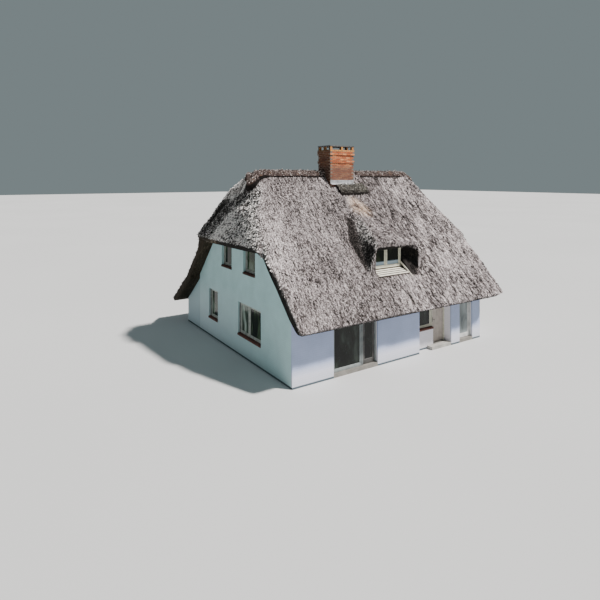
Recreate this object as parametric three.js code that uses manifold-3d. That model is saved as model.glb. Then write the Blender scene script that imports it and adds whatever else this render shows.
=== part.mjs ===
import * as THREE from 'three';
import { mergeVertices } from 'three/addons/utils/BufferGeometryUtils.js';
import Module from 'manifold-3d';

const wasm = await Module();
wasm.setup();

// All sizes are millimetres. x runs along the ridge from the outer face of the left gable,
// y runs from the outer face of the front wall to the back, z is up from the ground.
const X = 0;
const Y = 1;
const Z = 2;
const FAR = 16000;
const SEAT = 0.3;
const WELD = 1e-3;

// House body
const LENGTH = 10980;
const DEPTH = 10580;
const WALL = 300;
const FLOOR_TOP = 150;
const UPPER_FLOOR = { bottom: 2550, top: 2750, back: 8900 };
const HEAD = 2250;

// Roof, given as outer and inner points of its section from front to back
const RIDGE = { y: 4400, top: 8100, under: 7630 };
const FRONT_EAVE = { reach: -920, reachZ: 2250, shoulder: -820, shoulderZ: 2406, lip: -700, lipZ: 2160 };
const REAR_STEP = { y: 8930, top: 3298, under: 2830, lowUnder: 2600 };
const REAR_KICK = { y: 9600, z: 2588 };
const REAR_EAVE = { reach: 11350, reachZ: 1170, knee: 10500, kneeZ: 1330, lip: 11140, lipZ: 1060 };
const VERGE_LEFT = { front: -200, back: -620 };
const VERGE_RIGHT = 11580;

// Half-hips: where each hip plane meets the eave corners and the end of the ridge
const LEFT_HIP = { front: [-330, 1550], back: [-660, 7300], ridge: 720, eave: 5000 };
const RIGHT_HIP = { front: [11650, 1640], back: [11650, 7300], ridge: 10400, eave: 5080 };
const HIP_THICK = 360;
const HIP_SOFFIT_DROP = 220;
const HIP_EDGE = { underIn: 40, bevelIn: 30, bevelUp: 90 };
const HIP_OVERRUN = 1.14;

// The reed runs round from a slope into a half-hip, and hand-laid slopes rise and dip in swells
const HIP_ROUND = { radius: 1000, facets: 4 };
const SWELL = { high: 44, proud: 8, across: 970, along: 800, drift: 3, still: 300, fade: 400, cells: 3 };

// Front dormer
const DORMER = {
  left: 3990, right: 7600, lip: 350, lipTop: 5050, rise: 0.602,
  shoulderLeft: 4640, shoulderRight: 6750, taperLeft: 0.3, taperRight: 0.3,
  windowLeft: 4620, windowRight: 6440, windowY: 870, sill: 3830, head: 4800, lipDrop: 50, mouthCorner: 230,
  revealLeft: 4480, revealRight: 7050, foot: 270, footZ: 3590, seatZ: 3770,
  columns: 22, rows: 12,
};

const MOUTH_STEPS = 5;

// Rear dormer
const REAR_DORMER = {
  left: -800, right: 3650, lip: 7150, fall: 0.42,
  shoulderLeft: 1000, shoulderRight: 3150,
  windowLeft: 950, windowRight: 2950, windowY: 6750, sill: 5290, head: 6560, cut: 7450,
  columns: 24, rows: 12,
};

// Chimney
const STACK = { left: 4620, right: 6070, front: 3780, back: 4780 };
const LOWER_BAND = { bottom: 8560, top: 8700, out: 30 };
const CORBEL = { bottom: 8960, top: 9220, out: 35 };
const POST = { height: 160, size: 110 };
const FLUE_WALL = 240;
const COVER = { thick: 55, out: 20 };
const FLASHING = { thick: 8, rise: 150, skirt: 130 };
const SADDLE = { left: 4900, right: 6650, drop: 430, thick: 330, toe: 60 };

// Ridge caps
const CAP = { half: 250, top: 8205, edge: 100, steps: 10, bulbSides: 16, bulbRings: 10 };
const CAP_LEFT = { start: 620, bulb: [330, 400, 300], bulbZ: 7860 };
const CAP_RIGHT = { gap: 480, end: 10420, bulb: [260, 380, 260], bulbZ: 7880 };

// Front wall: where its piers, recess and doorways start and stop along x
const TERRACE = { left: 1930, right: 4240 };
const RECESS = { left: 6720, right: 8860, deep: 300, sill: 930, split: 7950 };
const GARDEN = { left: 9450, right: 10400 };

// Gable windows: distance from the front corner, width, sill and head heights
const LARGE_WINDOW = { from: 2380, width: 2100, sill: 940, head: 2350, bars: [1240] };
const NARROW_WINDOW = { from: 6650, width: 1075, sill: 940, head: 2350, bars: [] };
const UPPER_WINDOW_FRONT = { from: 2880, width: 1090, sill: 3720, head: 4800, bars: [545] };
const UPPER_WINDOW_REAR = { from: 5120, width: 1080, sill: 3720, head: 4800, bars: [540] };

// Joinery
const FRAME = { face: 70, deep: 90, setback: 110, fit: SEAT };
const PANE = 24;
const LEAF = { thick: 58, clear: 6, stile: 95, rail: 180, undercut: 14 };
const TERRACE_POST = { left: 3450, width: 80 };
const HINGE = {
  radius: 8, tall: 40, out: 10, gap: 3, plate: 42, thick: 4, sides: 12,
  heights: [240, 1000, 1780],
};
const HANDLE = { length: 130, bar: 22, out: 48, height: 1050, plate: [34, 210, 8] };
const STEP = { width: 1300, deep: 290, high: 140 };
const APRON = { thick: 24, lift: 1.1 * SEAT };

const FINISHES = {
  reed: { color: 0x8d8480, roughness: 0.95 },
  ridgeReed: { color: 0x7b6a5c, roughness: 0.95 },
  mossyReed: { color: 0x5b5a48, roughness: 0.95 },
  render: { color: 0xe6e8ea, roughness: 0.85 },
  brick: { color: 0xa85a3c, roughness: 0.9 },
  slab: { color: 0x77746e, roughness: 0.9 },
  lead: { color: 0xa9adb0, roughness: 0.5, metalness: 0.6 },
  paintedWood: { color: 0xd9d3c2, roughness: 0.5 },
  doorWood: { color: 0xd8c9a8, roughness: 0.55 },
  concrete: { color: 0x9a9a96, roughness: 0.9 },
  timber: { color: 0xb0a48e, roughness: 0.8 },
};

// Outlines and prisms

const DIRECTIONS = {
  [X]: new THREE.Matrix4().set(0, 0, 1, 0, 1, 0, 0, 0, 0, 1, 0, 0, 0, 0, 0, 1),
  [Y]: new THREE.Matrix4().set(1, 0, 0, 0, 0, 0, -1, 0, 0, 1, 0, 0, 0, 0, 0, 1),
  [Z]: new THREE.Matrix4(),
};

function toSolid(geometry) {
  geometry.deleteAttribute('normal');
  geometry.deleteAttribute('uv');
  const welded = mergeVertices(geometry, WELD);
  const vertProperties = new Float32Array(welded.attributes.position.array);
  const triVerts = new Uint32Array(welded.index.array);
  return new wasm.Manifold(new wasm.Mesh({ numProp: 3, vertProperties, triVerts }));
}

function toGeometry(solid) {
  const { vertProperties, triVerts } = solid.getMesh();
  const geometry = new THREE.BufferGeometry();
  geometry.setAttribute('position', new THREE.BufferAttribute(new Float32Array(vertProperties), 3));
  geometry.setIndex(new THREE.BufferAttribute(new Uint32Array(triVerts), 1));
  geometry.computeVertexNormals();
  return geometry;
}

// Extrudes an outline along one axis between two positions on that axis
function prism(points, axis, start, end) {
  const shape = new THREE.Shape(points.map(([a, b]) => new THREE.Vector2(a, b)));
  const geometry = new THREE.ExtrudeGeometry(shape, { depth: end - start, bevelEnabled: false });
  geometry.applyMatrix4(DIRECTIONS[axis]);
  const shift = [0, 0, 0];
  shift[axis] = axis === Y ? end : start;
  geometry.translate(...shift);
  return toSolid(geometry);
}

function box(x0, x1, y0, y1, z0, z1) {
  return prism([[x0, y0], [x1, y0], [x1, y1], [x0, y1]], Z, z0, z1);
}

// Moves every edge of a plan outline inwards, so that neighbours keep the seat gap
function inset(points, distance) {
  const turn = Math.sign(THREE.ShapeUtils.area(points.map(([x, y]) => new THREE.Vector2(x, y))));
  const edges = points.map(([x, y], i) => {
    const [nx, ny] = points[(i + 1) % points.length];
    const length = Math.hypot(nx - x, ny - y);
    const normal = [-turn * (ny - y) / length, turn * (nx - x) / length];
    return { at: [x + normal[0] * distance, y + normal[1] * distance], along: [nx - x, ny - y] };
  });
  return edges.map((edge, i) => cross(edges[(i + edges.length - 1) % edges.length], edge));
}

function cross(first, second) {
  const [ax, ay] = first.along;
  const [bx, by] = second.along;
  const dx = second.at[0] - first.at[0];
  const dy = second.at[1] - first.at[1];
  const t = (dx * by - dy * bx) / (ax * by - ay * bx);
  return [first.at[0] + ax * t, first.at[1] + ay * t];
}

function line(from, to) {
  return { at: from, along: [to[0] - from[0], to[1] - from[1]] };
}

function smooth(from, to, value) {
  return THREE.MathUtils.smoothstep(value, Math.min(from, to), Math.max(from, to));
}

// Closed solid between a flat bottom and a top surface given as a height over the plan
function heightSolid(x0, x1, columns, y0, y1, rows, bottom, height) {
  const positions = [];
  const across = columns + 1;
  const layer = across * (rows + 1);
  for (const top of [true, false]) {
    for (let j = 0; j <= rows; j += 1) {
      for (let i = 0; i <= columns; i += 1) {
        const x = THREE.MathUtils.lerp(x0, x1, i / columns);
        const y = THREE.MathUtils.lerp(y0, y1, j / rows);
        positions.push(x, y, top ? height(x, y) : bottom);
      }
    }
  }
  const index = [];
  const quad = (a, b, c, d) => index.push(a, b, c, a, c, d);
  for (let j = 0; j < rows; j += 1) {
    for (let i = 0; i < columns; i += 1) {
      const k = j * across + i;
      quad(k, k + 1, k + across + 1, k + across);
      quad(layer + k, layer + k + across, layer + k + across + 1, layer + k + 1);
    }
  }
  for (let i = 0; i < columns; i += 1) {
    const back = rows * across + i;
    quad(i + layer, i + layer + 1, i + 1, i);
    quad(back, back + 1, back + layer + 1, back + layer);
  }
  for (let j = 0; j < rows; j += 1) {
    const left = j * across;
    const right = left + columns;
    quad(left, left + across, left + across + layer, left + layer);
    quad(right + layer, right + across + layer, right + across, right);
  }
  const geometry = new THREE.BufferGeometry();
  geometry.setAttribute('position', new THREE.Float32BufferAttribute(positions, 3));
  geometry.setIndex(index);
  return toSolid(geometry);
}

// Roof surfaces

const FRONT_PITCH = (RIDGE.top - FRONT_EAVE.shoulderZ) / (RIDGE.y - FRONT_EAVE.shoulder);
const BACK_PITCH = (RIDGE.top - REAR_STEP.top) / (REAR_STEP.y - RIDGE.y);

function frontTop(y) {
  return RIDGE.top - (RIDGE.y - y) * FRONT_PITCH;
}

function backTop(y) {
  return RIDGE.top - (y - RIDGE.y) * BACK_PITCH;
}

function frontUnder(y) {
  const rise = RIDGE.under - FRONT_EAVE.lipZ;
  return RIDGE.under - (RIDGE.y - y) * rise / (RIDGE.y - FRONT_EAVE.lip);
}

function backUnder(y) {
  const fall = RIDGE.under - REAR_STEP.under;
  return RIDGE.under - (y - RIDGE.y) * fall / (REAR_STEP.y - RIDGE.y);
}

const FRONT_OUTER = [
  [FRONT_EAVE.lip, FRONT_EAVE.lipZ], [FRONT_EAVE.reach, FRONT_EAVE.reachZ],
  [FRONT_EAVE.shoulder, FRONT_EAVE.shoulderZ], [RIDGE.y, RIDGE.top],
];
const BACK_OUTER = [[RIDGE.y, RIDGE.top], [REAR_STEP.y, REAR_STEP.top]];
const REAR_OUTER = [
  [REAR_KICK.y, REAR_KICK.z], [REAR_EAVE.reach, REAR_EAVE.reachZ], [REAR_EAVE.lip, REAR_EAVE.lipZ],
];

// The room under the thatch, lowered by the gap its walls keep from the reed
function underRoof(gap) {
  const drop = gap * Math.hypot(1, FRONT_PITCH);
  const points = [
    [FRONT_EAVE.lip, FRONT_EAVE.lipZ], [RIDGE.y, RIDGE.under], [REAR_STEP.y, REAR_STEP.under],
    [REAR_STEP.y, REAR_STEP.lowUnder], [REAR_EAVE.knee, REAR_EAVE.kneeZ],
    [REAR_EAVE.lip, REAR_EAVE.lipZ],
  ].map(([y, z]) => [y, z - drop]);
  const room = prism([...points, [REAR_EAVE.lip, -FAR], [FRONT_EAVE.lip, -FAR]], X, -FAR, FAR);
  const left = hipBeyond(LEFT_HIP, HIP_THICK + gap);
  const right = hipBeyond(RIGHT_HIP, HIP_THICK + gap);
  return room.subtract(left).subtract(right);
}

// Slope of a half-hip in plan and in section, with the way it faces
function hipPlane(hip) {
  const [fx, fy] = hip.front;
  const [bx, by] = hip.back;
  const eaveAtRidge = THREE.MathUtils.lerp(fx, bx, (RIDGE.y - fy) / (by - fy));
  const facing = Math.sign(hip.ridge - eaveAtRidge);
  const skew = Math.atan2(fx - bx, by - fy);
  return { facing, skew, eaveAtRidge, run: Math.abs(hip.ridge - eaveAtRidge), rise: RIDGE.top - hip.eave };
}

// Turns an outline drawn across a half-hip into a solid that runs along its eave
function hipPrism(hip, points) {
  const { facing, skew, eaveAtRidge } = hipPlane(hip);
  const drawn = points.map(([across, z]) => [across * facing, z]);
  const shape = new THREE.Shape(drawn.map(([a, b]) => new THREE.Vector2(a, b)));
  const geometry = new THREE.ExtrudeGeometry(shape, { depth: FAR, bevelEnabled: false });
  geometry.applyMatrix4(DIRECTIONS[Y]);
  geometry.translate(0, FAR / 2, 0);
  geometry.rotateZ(skew);
  geometry.translate(eaveAtRidge, RIDGE.y, 0);
  return toSolid(geometry);
}

// Everything outside a plane that lies a given depth under the half-hip's outer face
function hipBeyond(hip, depth) {
  const { run, rise } = hipPlane(hip);
  const slide = depth * Math.hypot(run, rise) / rise;
  const soffit = hip.eave - HIP_SOFFIT_DROP - (depth > HIP_THICK ? depth - HIP_THICK : 0);
  const at = (z) => slide + (z - hip.eave) * run / rise;
  return hipPrism(hip, [[at(soffit), soffit], [at(FAR), FAR], [-FAR, FAR], [-FAR, soffit]]);
}

function thatchHip(hip) {
  const { run, rise } = hipPlane(hip);
  const slide = HIP_THICK * Math.hypot(run, rise) / rise;
  const soffit = hip.eave - HIP_SOFFIT_DROP;
  const inner = slide + (soffit - hip.eave) * run / rise;
  const top = [run, RIDGE.top];
  const under = [run, hip.eave + (run - slide) * rise / run];
  const { underIn, bevelIn, bevelUp } = HIP_EDGE;
  const slab = hipPrism(hip, [
    [underIn, soffit], [inner, soffit], under, top, [bevelIn, hip.eave + bevelUp], [0, hip.eave],
  ]);
  const tip = [hip.ridge, RIDGE.y];
  const reach = ([x, y]) => [tip[0] + (x - tip[0]) * HIP_OVERRUN, tip[1] + (y - tip[1]) * HIP_OVERRUN];
  const plan = inset([tip, reach(hip.front), reach(hip.back)], SEAT / 2);
  return slab.intersect(prism(plan, Z, 0, FAR)).intersect(roofBody(0));
}

// Everything beyond a plane, given by its outward direction and its distance from the origin
function beyond(normal, distance) {
  const block = new THREE.BoxGeometry(2 * FAR, 2 * FAR, FAR);
  block.translate(0, 0, distance + FAR / 2);
  block.applyQuaternion(new THREE.Quaternion().setFromUnitVectors(new THREE.Vector3(0, 0, 1), normal));
  return toSolid(block);
}

// Takes the arris between a slope and a half-hip down to facets of a round
function roundArris(body, hip, slopeNormal, gap) {
  const { facing, skew, eaveAtRidge, run, rise } = hipPlane(hip);
  const hipNormal = new THREE.Vector3(-facing * rise, 0, run).normalize();
  hipNormal.applyAxisAngle(new THREE.Vector3(0, 0, 1), skew);
  const slopeDistance = slopeNormal.dot(new THREE.Vector3(0, RIDGE.y, RIDGE.top)) - HIP_ROUND.radius;
  const hipDistance = hipNormal.dot(new THREE.Vector3(eaveAtRidge, RIDGE.y, hip.eave)) - HIP_ROUND.radius;
  const turn = slopeNormal.dot(hipNormal);
  const centre = new THREE.Vector3();
  centre.addScaledVector(slopeNormal, (slopeDistance - hipDistance * turn) / (1 - turn ** 2));
  centre.addScaledVector(hipNormal, (hipDistance - slopeDistance * turn) / (1 - turn ** 2));
  for (let i = 1; i <= HIP_ROUND.facets; i += 1) {
    const normal = slopeNormal.clone().lerp(hipNormal, i / (HIP_ROUND.facets + 1)).normalize();
    body = body.subtract(beyond(normal, normal.dot(centre) + HIP_ROUND.radius + gap));
  }
  return body;
}

// Solid under the outer faces of the slopes and half-hips, grown by a gap
function roofBody(gap) {
  const grow = gap * Math.hypot(1, FRONT_PITCH);
  const kick = (REAR_KICK.z - REAR_EAVE.reachZ) / (REAR_EAVE.reach - REAR_KICK.y);
  const farBack = REAR_KICK.z - (FAR - REAR_KICK.y) * kick;
  const section = [
    [-FAR, -FAR], [FAR, -FAR], [FAR, farBack + grow], [REAR_KICK.y, REAR_KICK.z + grow],
    [REAR_STEP.y, REAR_STEP.top + grow], [RIDGE.y, RIDGE.top + grow], [-FAR, frontTop(-FAR) + grow],
  ];
  const front = new THREE.Vector3(0, -FRONT_PITCH, 1).normalize();
  const back = new THREE.Vector3(0, BACK_PITCH, 1).normalize();
  let body = prism(section, X, -FAR, FAR);
  body = body.subtract(hipBeyond(LEFT_HIP, -gap)).subtract(hipBeyond(RIGHT_HIP, -gap));
  body = roundArris(body, LEFT_HIP, front, gap);
  body = roundArris(body, RIGHT_HIP, front, gap);
  return roundArris(body, RIGHT_HIP, back, gap);
}

// Plan outlines of the slopes, running up to the hip lines

function vergeLeft() {
  return line([VERGE_LEFT.front, FRONT_EAVE.reach], [VERGE_LEFT.back, REAR_EAVE.reach]);
}

function vergeRight() {
  return line([VERGE_RIGHT, FRONT_EAVE.reach], [VERGE_RIGHT, REAR_EAVE.reach]);
}

function hipCorner(hip, corner, verge) {
  return cross(line([hip.ridge, RIDGE.y], corner), verge);
}

function atY(verge, y) {
  return cross(verge, line([0, y], [1, y]));
}

const TIP_LEFT = [LEFT_HIP.ridge, RIDGE.y];
const TIP_RIGHT = [RIGHT_HIP.ridge, RIDGE.y];
const BEFORE = FRONT_EAVE.reach - WALL;

const PLANS = {
  frontLeft: [
    atY(vergeLeft(), BEFORE), [DORMER.left, BEFORE], [DORMER.left, RIDGE.y], TIP_LEFT,
    hipCorner(LEFT_HIP, LEFT_HIP.front, vergeLeft()),
  ],
  frontRight: [
    [DORMER.right, BEFORE], atY(vergeRight(), BEFORE),
    hipCorner(RIGHT_HIP, RIGHT_HIP.front, vergeRight()), TIP_RIGHT, [DORMER.right, RIDGE.y],
  ],
  rearDormer: [
    TIP_LEFT, [REAR_DORMER.right, RIDGE.y], [REAR_DORMER.right, REAR_DORMER.cut],
    atY(vergeLeft(), REAR_DORMER.cut), hipCorner(LEFT_HIP, LEFT_HIP.back, vergeLeft()),
  ],
  back: [
    [REAR_DORMER.right, RIDGE.y], TIP_RIGHT, hipCorner(RIGHT_HIP, RIGHT_HIP.back, vergeRight()),
    atY(vergeRight(), REAR_STEP.y), [REAR_DORMER.right, REAR_STEP.y],
  ],
  belowRearDormer: [
    atY(vergeLeft(), REAR_DORMER.cut), [REAR_DORMER.right, REAR_DORMER.cut],
    [REAR_DORMER.right, REAR_STEP.y], atY(vergeLeft(), REAR_STEP.y),
  ],
  rearEave: [
    atY(vergeLeft(), REAR_STEP.y), atY(vergeRight(), REAR_STEP.y),
    atY(vergeRight(), FAR), atY(vergeLeft(), FAR),
  ],
};

function overPlan(plan) {
  return prism(inset(plan, SEAT / 2), Z, -FAR, FAR);
}

function slope(section, plan) {
  return prism(section, X, -FAR, FAR).intersect(overPlan(plan)).intersect(roofBody(0));
}

// Distance in plan from a spot to the nearest edge of an outline
function edgeDistance(x, y, plan) {
  const spot = new THREE.Vector3(x, y, 0);
  const distances = plan.map(([ax, ay], i) => {
    const [bx, by] = plan[(i + 1) % plan.length];
    const edge = new THREE.Line3(new THREE.Vector3(ax, ay, 0), new THREE.Vector3(bx, by, 0));
    return edge.closestPointToPoint(spot, true, new THREE.Vector3()).distanceTo(spot);
  });
  return Math.min(...distances);
}

// Lets the outer face of a slope down into swells, and leaves it as it is along its edges
function swelled(solid, plan, top) {
  const { high, proud, across, along, drift, still, fade, cells } = SWELL;
  const turn = 2 * Math.PI;
  const face = (x, y) => {
    const wave = Math.sin(turn * x / across + Math.sin(turn * y / (drift * along)))
      + Math.sin(turn * y / along + Math.sin(turn * x / (drift * across)));
    const open = smooth(still, still + fade, edgeDistance(x, y, plan));
    return top(y) + proud - (high + proud) * open * (2 + wave) / 4;
  };
  const [x0, x1] = [Math.min(...plan.map(([x]) => x)), Math.max(...plan.map(([x]) => x))];
  const [y0, y1] = [Math.min(...plan.map(([, y]) => y)), Math.max(...plan.map(([, y]) => y))];
  const columns = Math.round((x1 - x0) * cells / across);
  const rows = Math.round((y1 - y0) * cells / along);
  return solid.intersect(heightSolid(x0, x1, columns, y0, y1, rows, 0, face));
}

function stackHole() {
  const { left, right, front, back } = STACK;
  return box(left - SEAT, right + SEAT, front - SEAT, back + SEAT, -FAR, FAR);
}

const FRONT_SECTION = [...FRONT_OUTER, [RIDGE.y, RIDGE.under]];
const BACK_SECTION = [...BACK_OUTER, [REAR_STEP.y, REAR_STEP.under], [RIDGE.y, RIDGE.under]];
const REAR_EAVE_SECTION = [
  [REAR_STEP.y, REAR_STEP.top], ...REAR_OUTER, [REAR_EAVE.knee, REAR_EAVE.kneeZ],
  [REAR_STEP.y, REAR_STEP.lowUnder],
];

// Front dormer: the reed rises off the slope, runs over the window and folds down at both sides

function dormerRise(x, y) {
  const { left, right, shoulderLeft, shoulderRight, taperLeft, taperRight, lip, lipTop, rise } = DORMER;
  const inLeft = left + taperLeft * (y - lip);
  const inRight = right - taperRight * (y - lip);
  const lift = Math.max(0, lipTop + rise * (y - lip) - frontTop(y));
  return lift * smooth(inLeft, shoulderLeft + taperLeft * (y - lip), x)
    * (1 - smooth(shoulderRight - taperRight * (y - lip), inRight, x));
}

// The mouth of the dormer: its lip hangs a little below the head of the window and runs round at both ends
function dormerMouth() {
  const { revealLeft, revealRight, head, lipDrop, mouthCorner, lip, windowY } = DORMER;
  const centreZ = head - lipDrop - mouthCorner;
  const outline = [[revealLeft, 0], [revealRight, 0]];
  for (const [centreX, start] of [[revealRight - mouthCorner, 0], [revealLeft + mouthCorner, Math.PI / 2]]) {
    for (let i = 0; i <= MOUTH_STEPS; i += 1) {
      const angle = start + Math.PI / 2 * i / MOUTH_STEPS;
      outline.push([centreX + mouthCorner * Math.cos(angle), centreZ + mouthCorner * Math.sin(angle)]);
    }
  }
  return prism(outline, Y, lip - 2, windowY + 2);
}

function frontDormerHood() {
  const { left, right, lip, windowLeft, windowRight, windowY, head, rise, sill, columns, rows } = DORMER;
  const form = heightSolid(left + SEAT, right - SEAT, columns, lip, RIDGE.y - SEAT, rows, 0,
    (x, y) => frontTop(y) + dormerRise(x, y));
  const past = RIDGE.y + 1;
  const under = prism([
    [lip - 1, -1], [past, -1], [past, frontUnder(past)], [windowY, frontUnder(windowY)],
    [windowY, frontTop(windowY) + 1], [lip - 1, frontTop(lip - 1) + 1],
  ], X, -FAR, FAR);
  const meet = windowY + (head - frontUnder(windowY)) / (frontUnder(1) - frontUnder(0) - rise);
  const room = prism([
    [windowY, sill - WALL], [windowY, head], [meet, frontUnder(meet)], [meet, sill - WALL],
  ], X, windowLeft, windowRight);
  const reveal = prism([
    [DORMER.revealLeft, lip - 1], [DORMER.revealRight, lip - 1],
    [windowRight, windowY + 1], [windowLeft, windowY + 1],
  ], Z, 0, head).intersect(dormerMouth());
  return form.subtract(under).subtract(room).subtract(reveal).subtract(stackHole());
}

function thatchBelowDormer() {
  const { left, right, windowY, foot, footZ, seatZ } = DORMER;
  const plan = [[left, BEFORE], [right, BEFORE], [right, windowY], [left, windowY]];
  const whole = slope([
    ...FRONT_OUTER.slice(0, 3), [windowY, frontTop(windowY) - SEAT], [windowY, frontUnder(windowY)],
  ], plan);
  const notch = prism([[foot, footZ], [windowY + 1, seatZ], [windowY + 1, FAR], [foot, FAR]], X,
    DORMER.windowLeft, DORMER.windowRight);
  return whole.subtract(notch);
}

function dormerApron() {
  const { windowLeft, windowRight, foot, footZ, windowY, seatZ } = DORMER;
  const { thick, lift } = APRON;
  const section = [
    [foot, footZ + lift], [windowY - SEAT, seatZ + lift], [windowY - SEAT, seatZ + lift + thick],
    [foot, footZ + lift + thick],
  ];
  return prism(section, X, windowLeft + SEAT, windowRight - SEAT);
}

// Rear dormer: a wide low lift of the reed from the ridge, with one row of windows

function rearRise(x, y) {
  const { left, right, shoulderLeft, shoulderRight, fall, lip } = REAR_DORMER;
  const lift = Math.max(0, RIDGE.top - fall * (y - RIDGE.y) - backTop(y));
  return y > lip ? 0 : lift * smooth(left, shoulderLeft, x) * (1 - smooth(shoulderRight, right, x));
}

function rearDormerHood() {
  const { left, right, lip, windowLeft, windowRight, windowY, sill, head, fall, cut } = REAR_DORMER;
  const { columns, rows } = REAR_DORMER;
  const lifted = heightSolid(left, right - SEAT, columns, RIDGE.y + SEAT, lip, rows, 0,
    (x, y) => backTop(y) + rearRise(x, y));
  const past = cut + 2;
  const plain = prism([
    [lip - 1, 0], [past, 0], [past, backTop(past)], [lip - 1, backTop(lip - 1)],
  ], X, -FAR, FAR);
  const under = prism([
    [RIDGE.y - 1, -1], [past, -1], [past, backUnder(past)], [RIDGE.y, RIDGE.under],
    [RIDGE.y - 1, RIDGE.under],
  ], X, -FAR, FAR);
  const room = prism([
    [RIDGE.y + WALL, sill], [cut + 1, sill], [cut + 1, head], [windowY - FRAME.deep, head],
    [RIDGE.y + WALL, head + fall * (windowY - FRAME.deep - RIDGE.y - WALL)],
  ], X, windowLeft, windowRight);
  const hood = lifted.add(plain).subtract(under).subtract(room);
  return hood.intersect(overPlan(PLANS.rearDormer)).subtract(stackHole());
}

// Ridge cap: a low roll of reed laid over the ridge, with a rounded end

function capSection() {
  const edge = CAP.top - (RIDGE.top - CAP.half * FRONT_PITCH + CAP.edge);
  const arc = [];
  for (let i = 0; i <= CAP.steps; i += 1) {
    const across = THREE.MathUtils.lerp(-CAP.half, CAP.half, i / CAP.steps);
    arc.push([RIDGE.y + across, CAP.top - edge * (across / CAP.half) ** 2]);
  }
  return [[RIDGE.y - CAP.half, 0], ...arc, [RIDGE.y + CAP.half, 0]];
}

function ridgeCap(start, end, bulb, bulbAt, bulbZ) {
  const ball = new THREE.SphereGeometry(1, CAP.bulbSides, CAP.bulbRings);
  ball.scale(...bulb);
  ball.translate(bulbAt, RIDGE.y, bulbZ);
  const { left, right, lip, columns, rows } = REAR_DORMER;
  const clearance = SEAT * Math.hypot(1, BACK_PITCH);
  const dormer = heightSolid(left, right, columns, RIDGE.y, lip, rows, 0,
    (x, y) => backTop(y) + rearRise(x, y) + clearance);
  return prism(capSection(), X, start, end).add(toSolid(ball)).subtract(roofBody(SEAT)).subtract(dormer);
}

// Chimney

function ring(grow, bottom, top) {
  const { left, right, front, back } = STACK;
  return box(left - grow, right + grow, front - grow, back + grow, bottom, top);
}

function chimneyStack() {
  const { left, right, front, back } = STACK;
  const postTop = CORBEL.top + POST.height;
  const flue = ring(-FLUE_WALL, HEAD, postTop + 1);
  const band = ring(LOWER_BAND.out, LOWER_BAND.bottom, LOWER_BAND.top);
  const corbel = ring(CORBEL.out, CORBEL.bottom, CORBEL.top);
  let solid = ring(0, FLOOR_TOP + SEAT, CORBEL.top).add(band).add(corbel).subtract(flue);
  const spots = [];
  for (const x of [left, (left + right - POST.size) / 2, right - POST.size]) {
    spots.push([x, front], [x, back - POST.size]);
  }
  for (const x of [left, right - POST.size]) {
    spots.push([x, (front + back - POST.size) / 2]);
  }
  for (const [x, y] of spots) {
    solid = solid.add(box(x, x + POST.size, y, y + POST.size, CORBEL.top - 1, postTop));
  }
  return solid;
}

function chimneyCover() {
  const bottom = CORBEL.top + POST.height + SEAT;
  return ring(COVER.out, bottom, bottom + COVER.thick);
}

// Lead apron against the front of the stack, turned out over the top of the saddle
function chimneyFlashing() {
  const { left, right, front } = STACK;
  const foot = frontTop(front) + SADDLE.thick / 2;
  const face = front - SEAT;
  const skirt = [face - FLASHING.skirt, foot - FLASHING.skirt * FRONT_PITCH / 2];
  const section = [
    [face, foot], [face, foot + FLASHING.rise], [face - FLASHING.thick, foot + FLASHING.rise],
    [face - FLASHING.thick, foot + FLASHING.thick], [skirt[0], skirt[1] + FLASHING.thick], skirt,
  ];
  return prism(section, X, left, right);
}

function chimneySaddle() {
  const front = STACK.front - SEAT;
  const top = frontTop(front) + SADDLE.thick / 2 - SEAT;
  const low = front - SADDLE.drop;
  const section = [
    [front, 0], [front, top], [front - FLASHING.skirt - 1, top - FLASHING.skirt * FRONT_PITCH / 2],
    [low, frontTop(low) + SADDLE.thick], [low - SADDLE.toe, frontTop(low) + SADDLE.thick / 2], [low, 0],
  ];
  const { left, right, lip, columns, rows } = DORMER;
  const clearance = SEAT * Math.hypot(1, FRONT_PITCH);
  const hood = heightSolid(left, right, columns, lip, RIDGE.y, rows, 0,
    (x, y) => frontTop(y) + dormerRise(x, y) + clearance);
  return prism(section, X, SADDLE.left, SADDLE.right).subtract(roofBody(SEAT)).subtract(hood);
}

// Walls and floors

function holes(windows, x0, x1) {
  const cut = ({ from, width, sill, head }) => box(x0, x1, from, from + width, sill, head);
  return windows.map(cut);
}

const GABLE_WINDOWS = [LARGE_WINDOW, NARROW_WINDOW, UPPER_WINDOW_FRONT, UPPER_WINDOW_REAR];

function gableWall(face) {
  const inner = face === 0 ? WALL : face - WALL;
  const x0 = Math.min(face, inner);
  const x1 = Math.max(face, inner);
  let solid = box(x0, x1, 0, DEPTH, 0, RIDGE.top).intersect(underRoof(SEAT));
  for (const hole of holes(GABLE_WINDOWS, x0 - 1, x1 + 1)) {
    solid = solid.subtract(hole);
  }
  return solid;
}

function frontWall(plan, bottom, top) {
  return prism(plan, Z, bottom, top).intersect(underRoof(SEAT));
}

function pier(x0, x1) {
  return frontWall([[x0, 0], [x1, 0], [x1, WALL], [x0, WALL]], 0, HEAD - SEAT);
}

// Pier with a return that carries the side of the recess
function returnPier(x0, x1, cornerX, towards) {
  const back = WALL + RECESS.deep;
  const side = cornerX + towards * WALL;
  const plain = [[x0, 0], [x1, 0], [x1, WALL], [x0, WALL]];
  const turned = [[Math.min(cornerX, side), 0], [Math.max(cornerX, side), 0],
    [Math.max(cornerX, side), back], [Math.min(cornerX, side), back]];
  return frontWall(plain, 0, HEAD - SEAT).add(frontWall(turned, 0, HEAD - SEAT));
}

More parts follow.
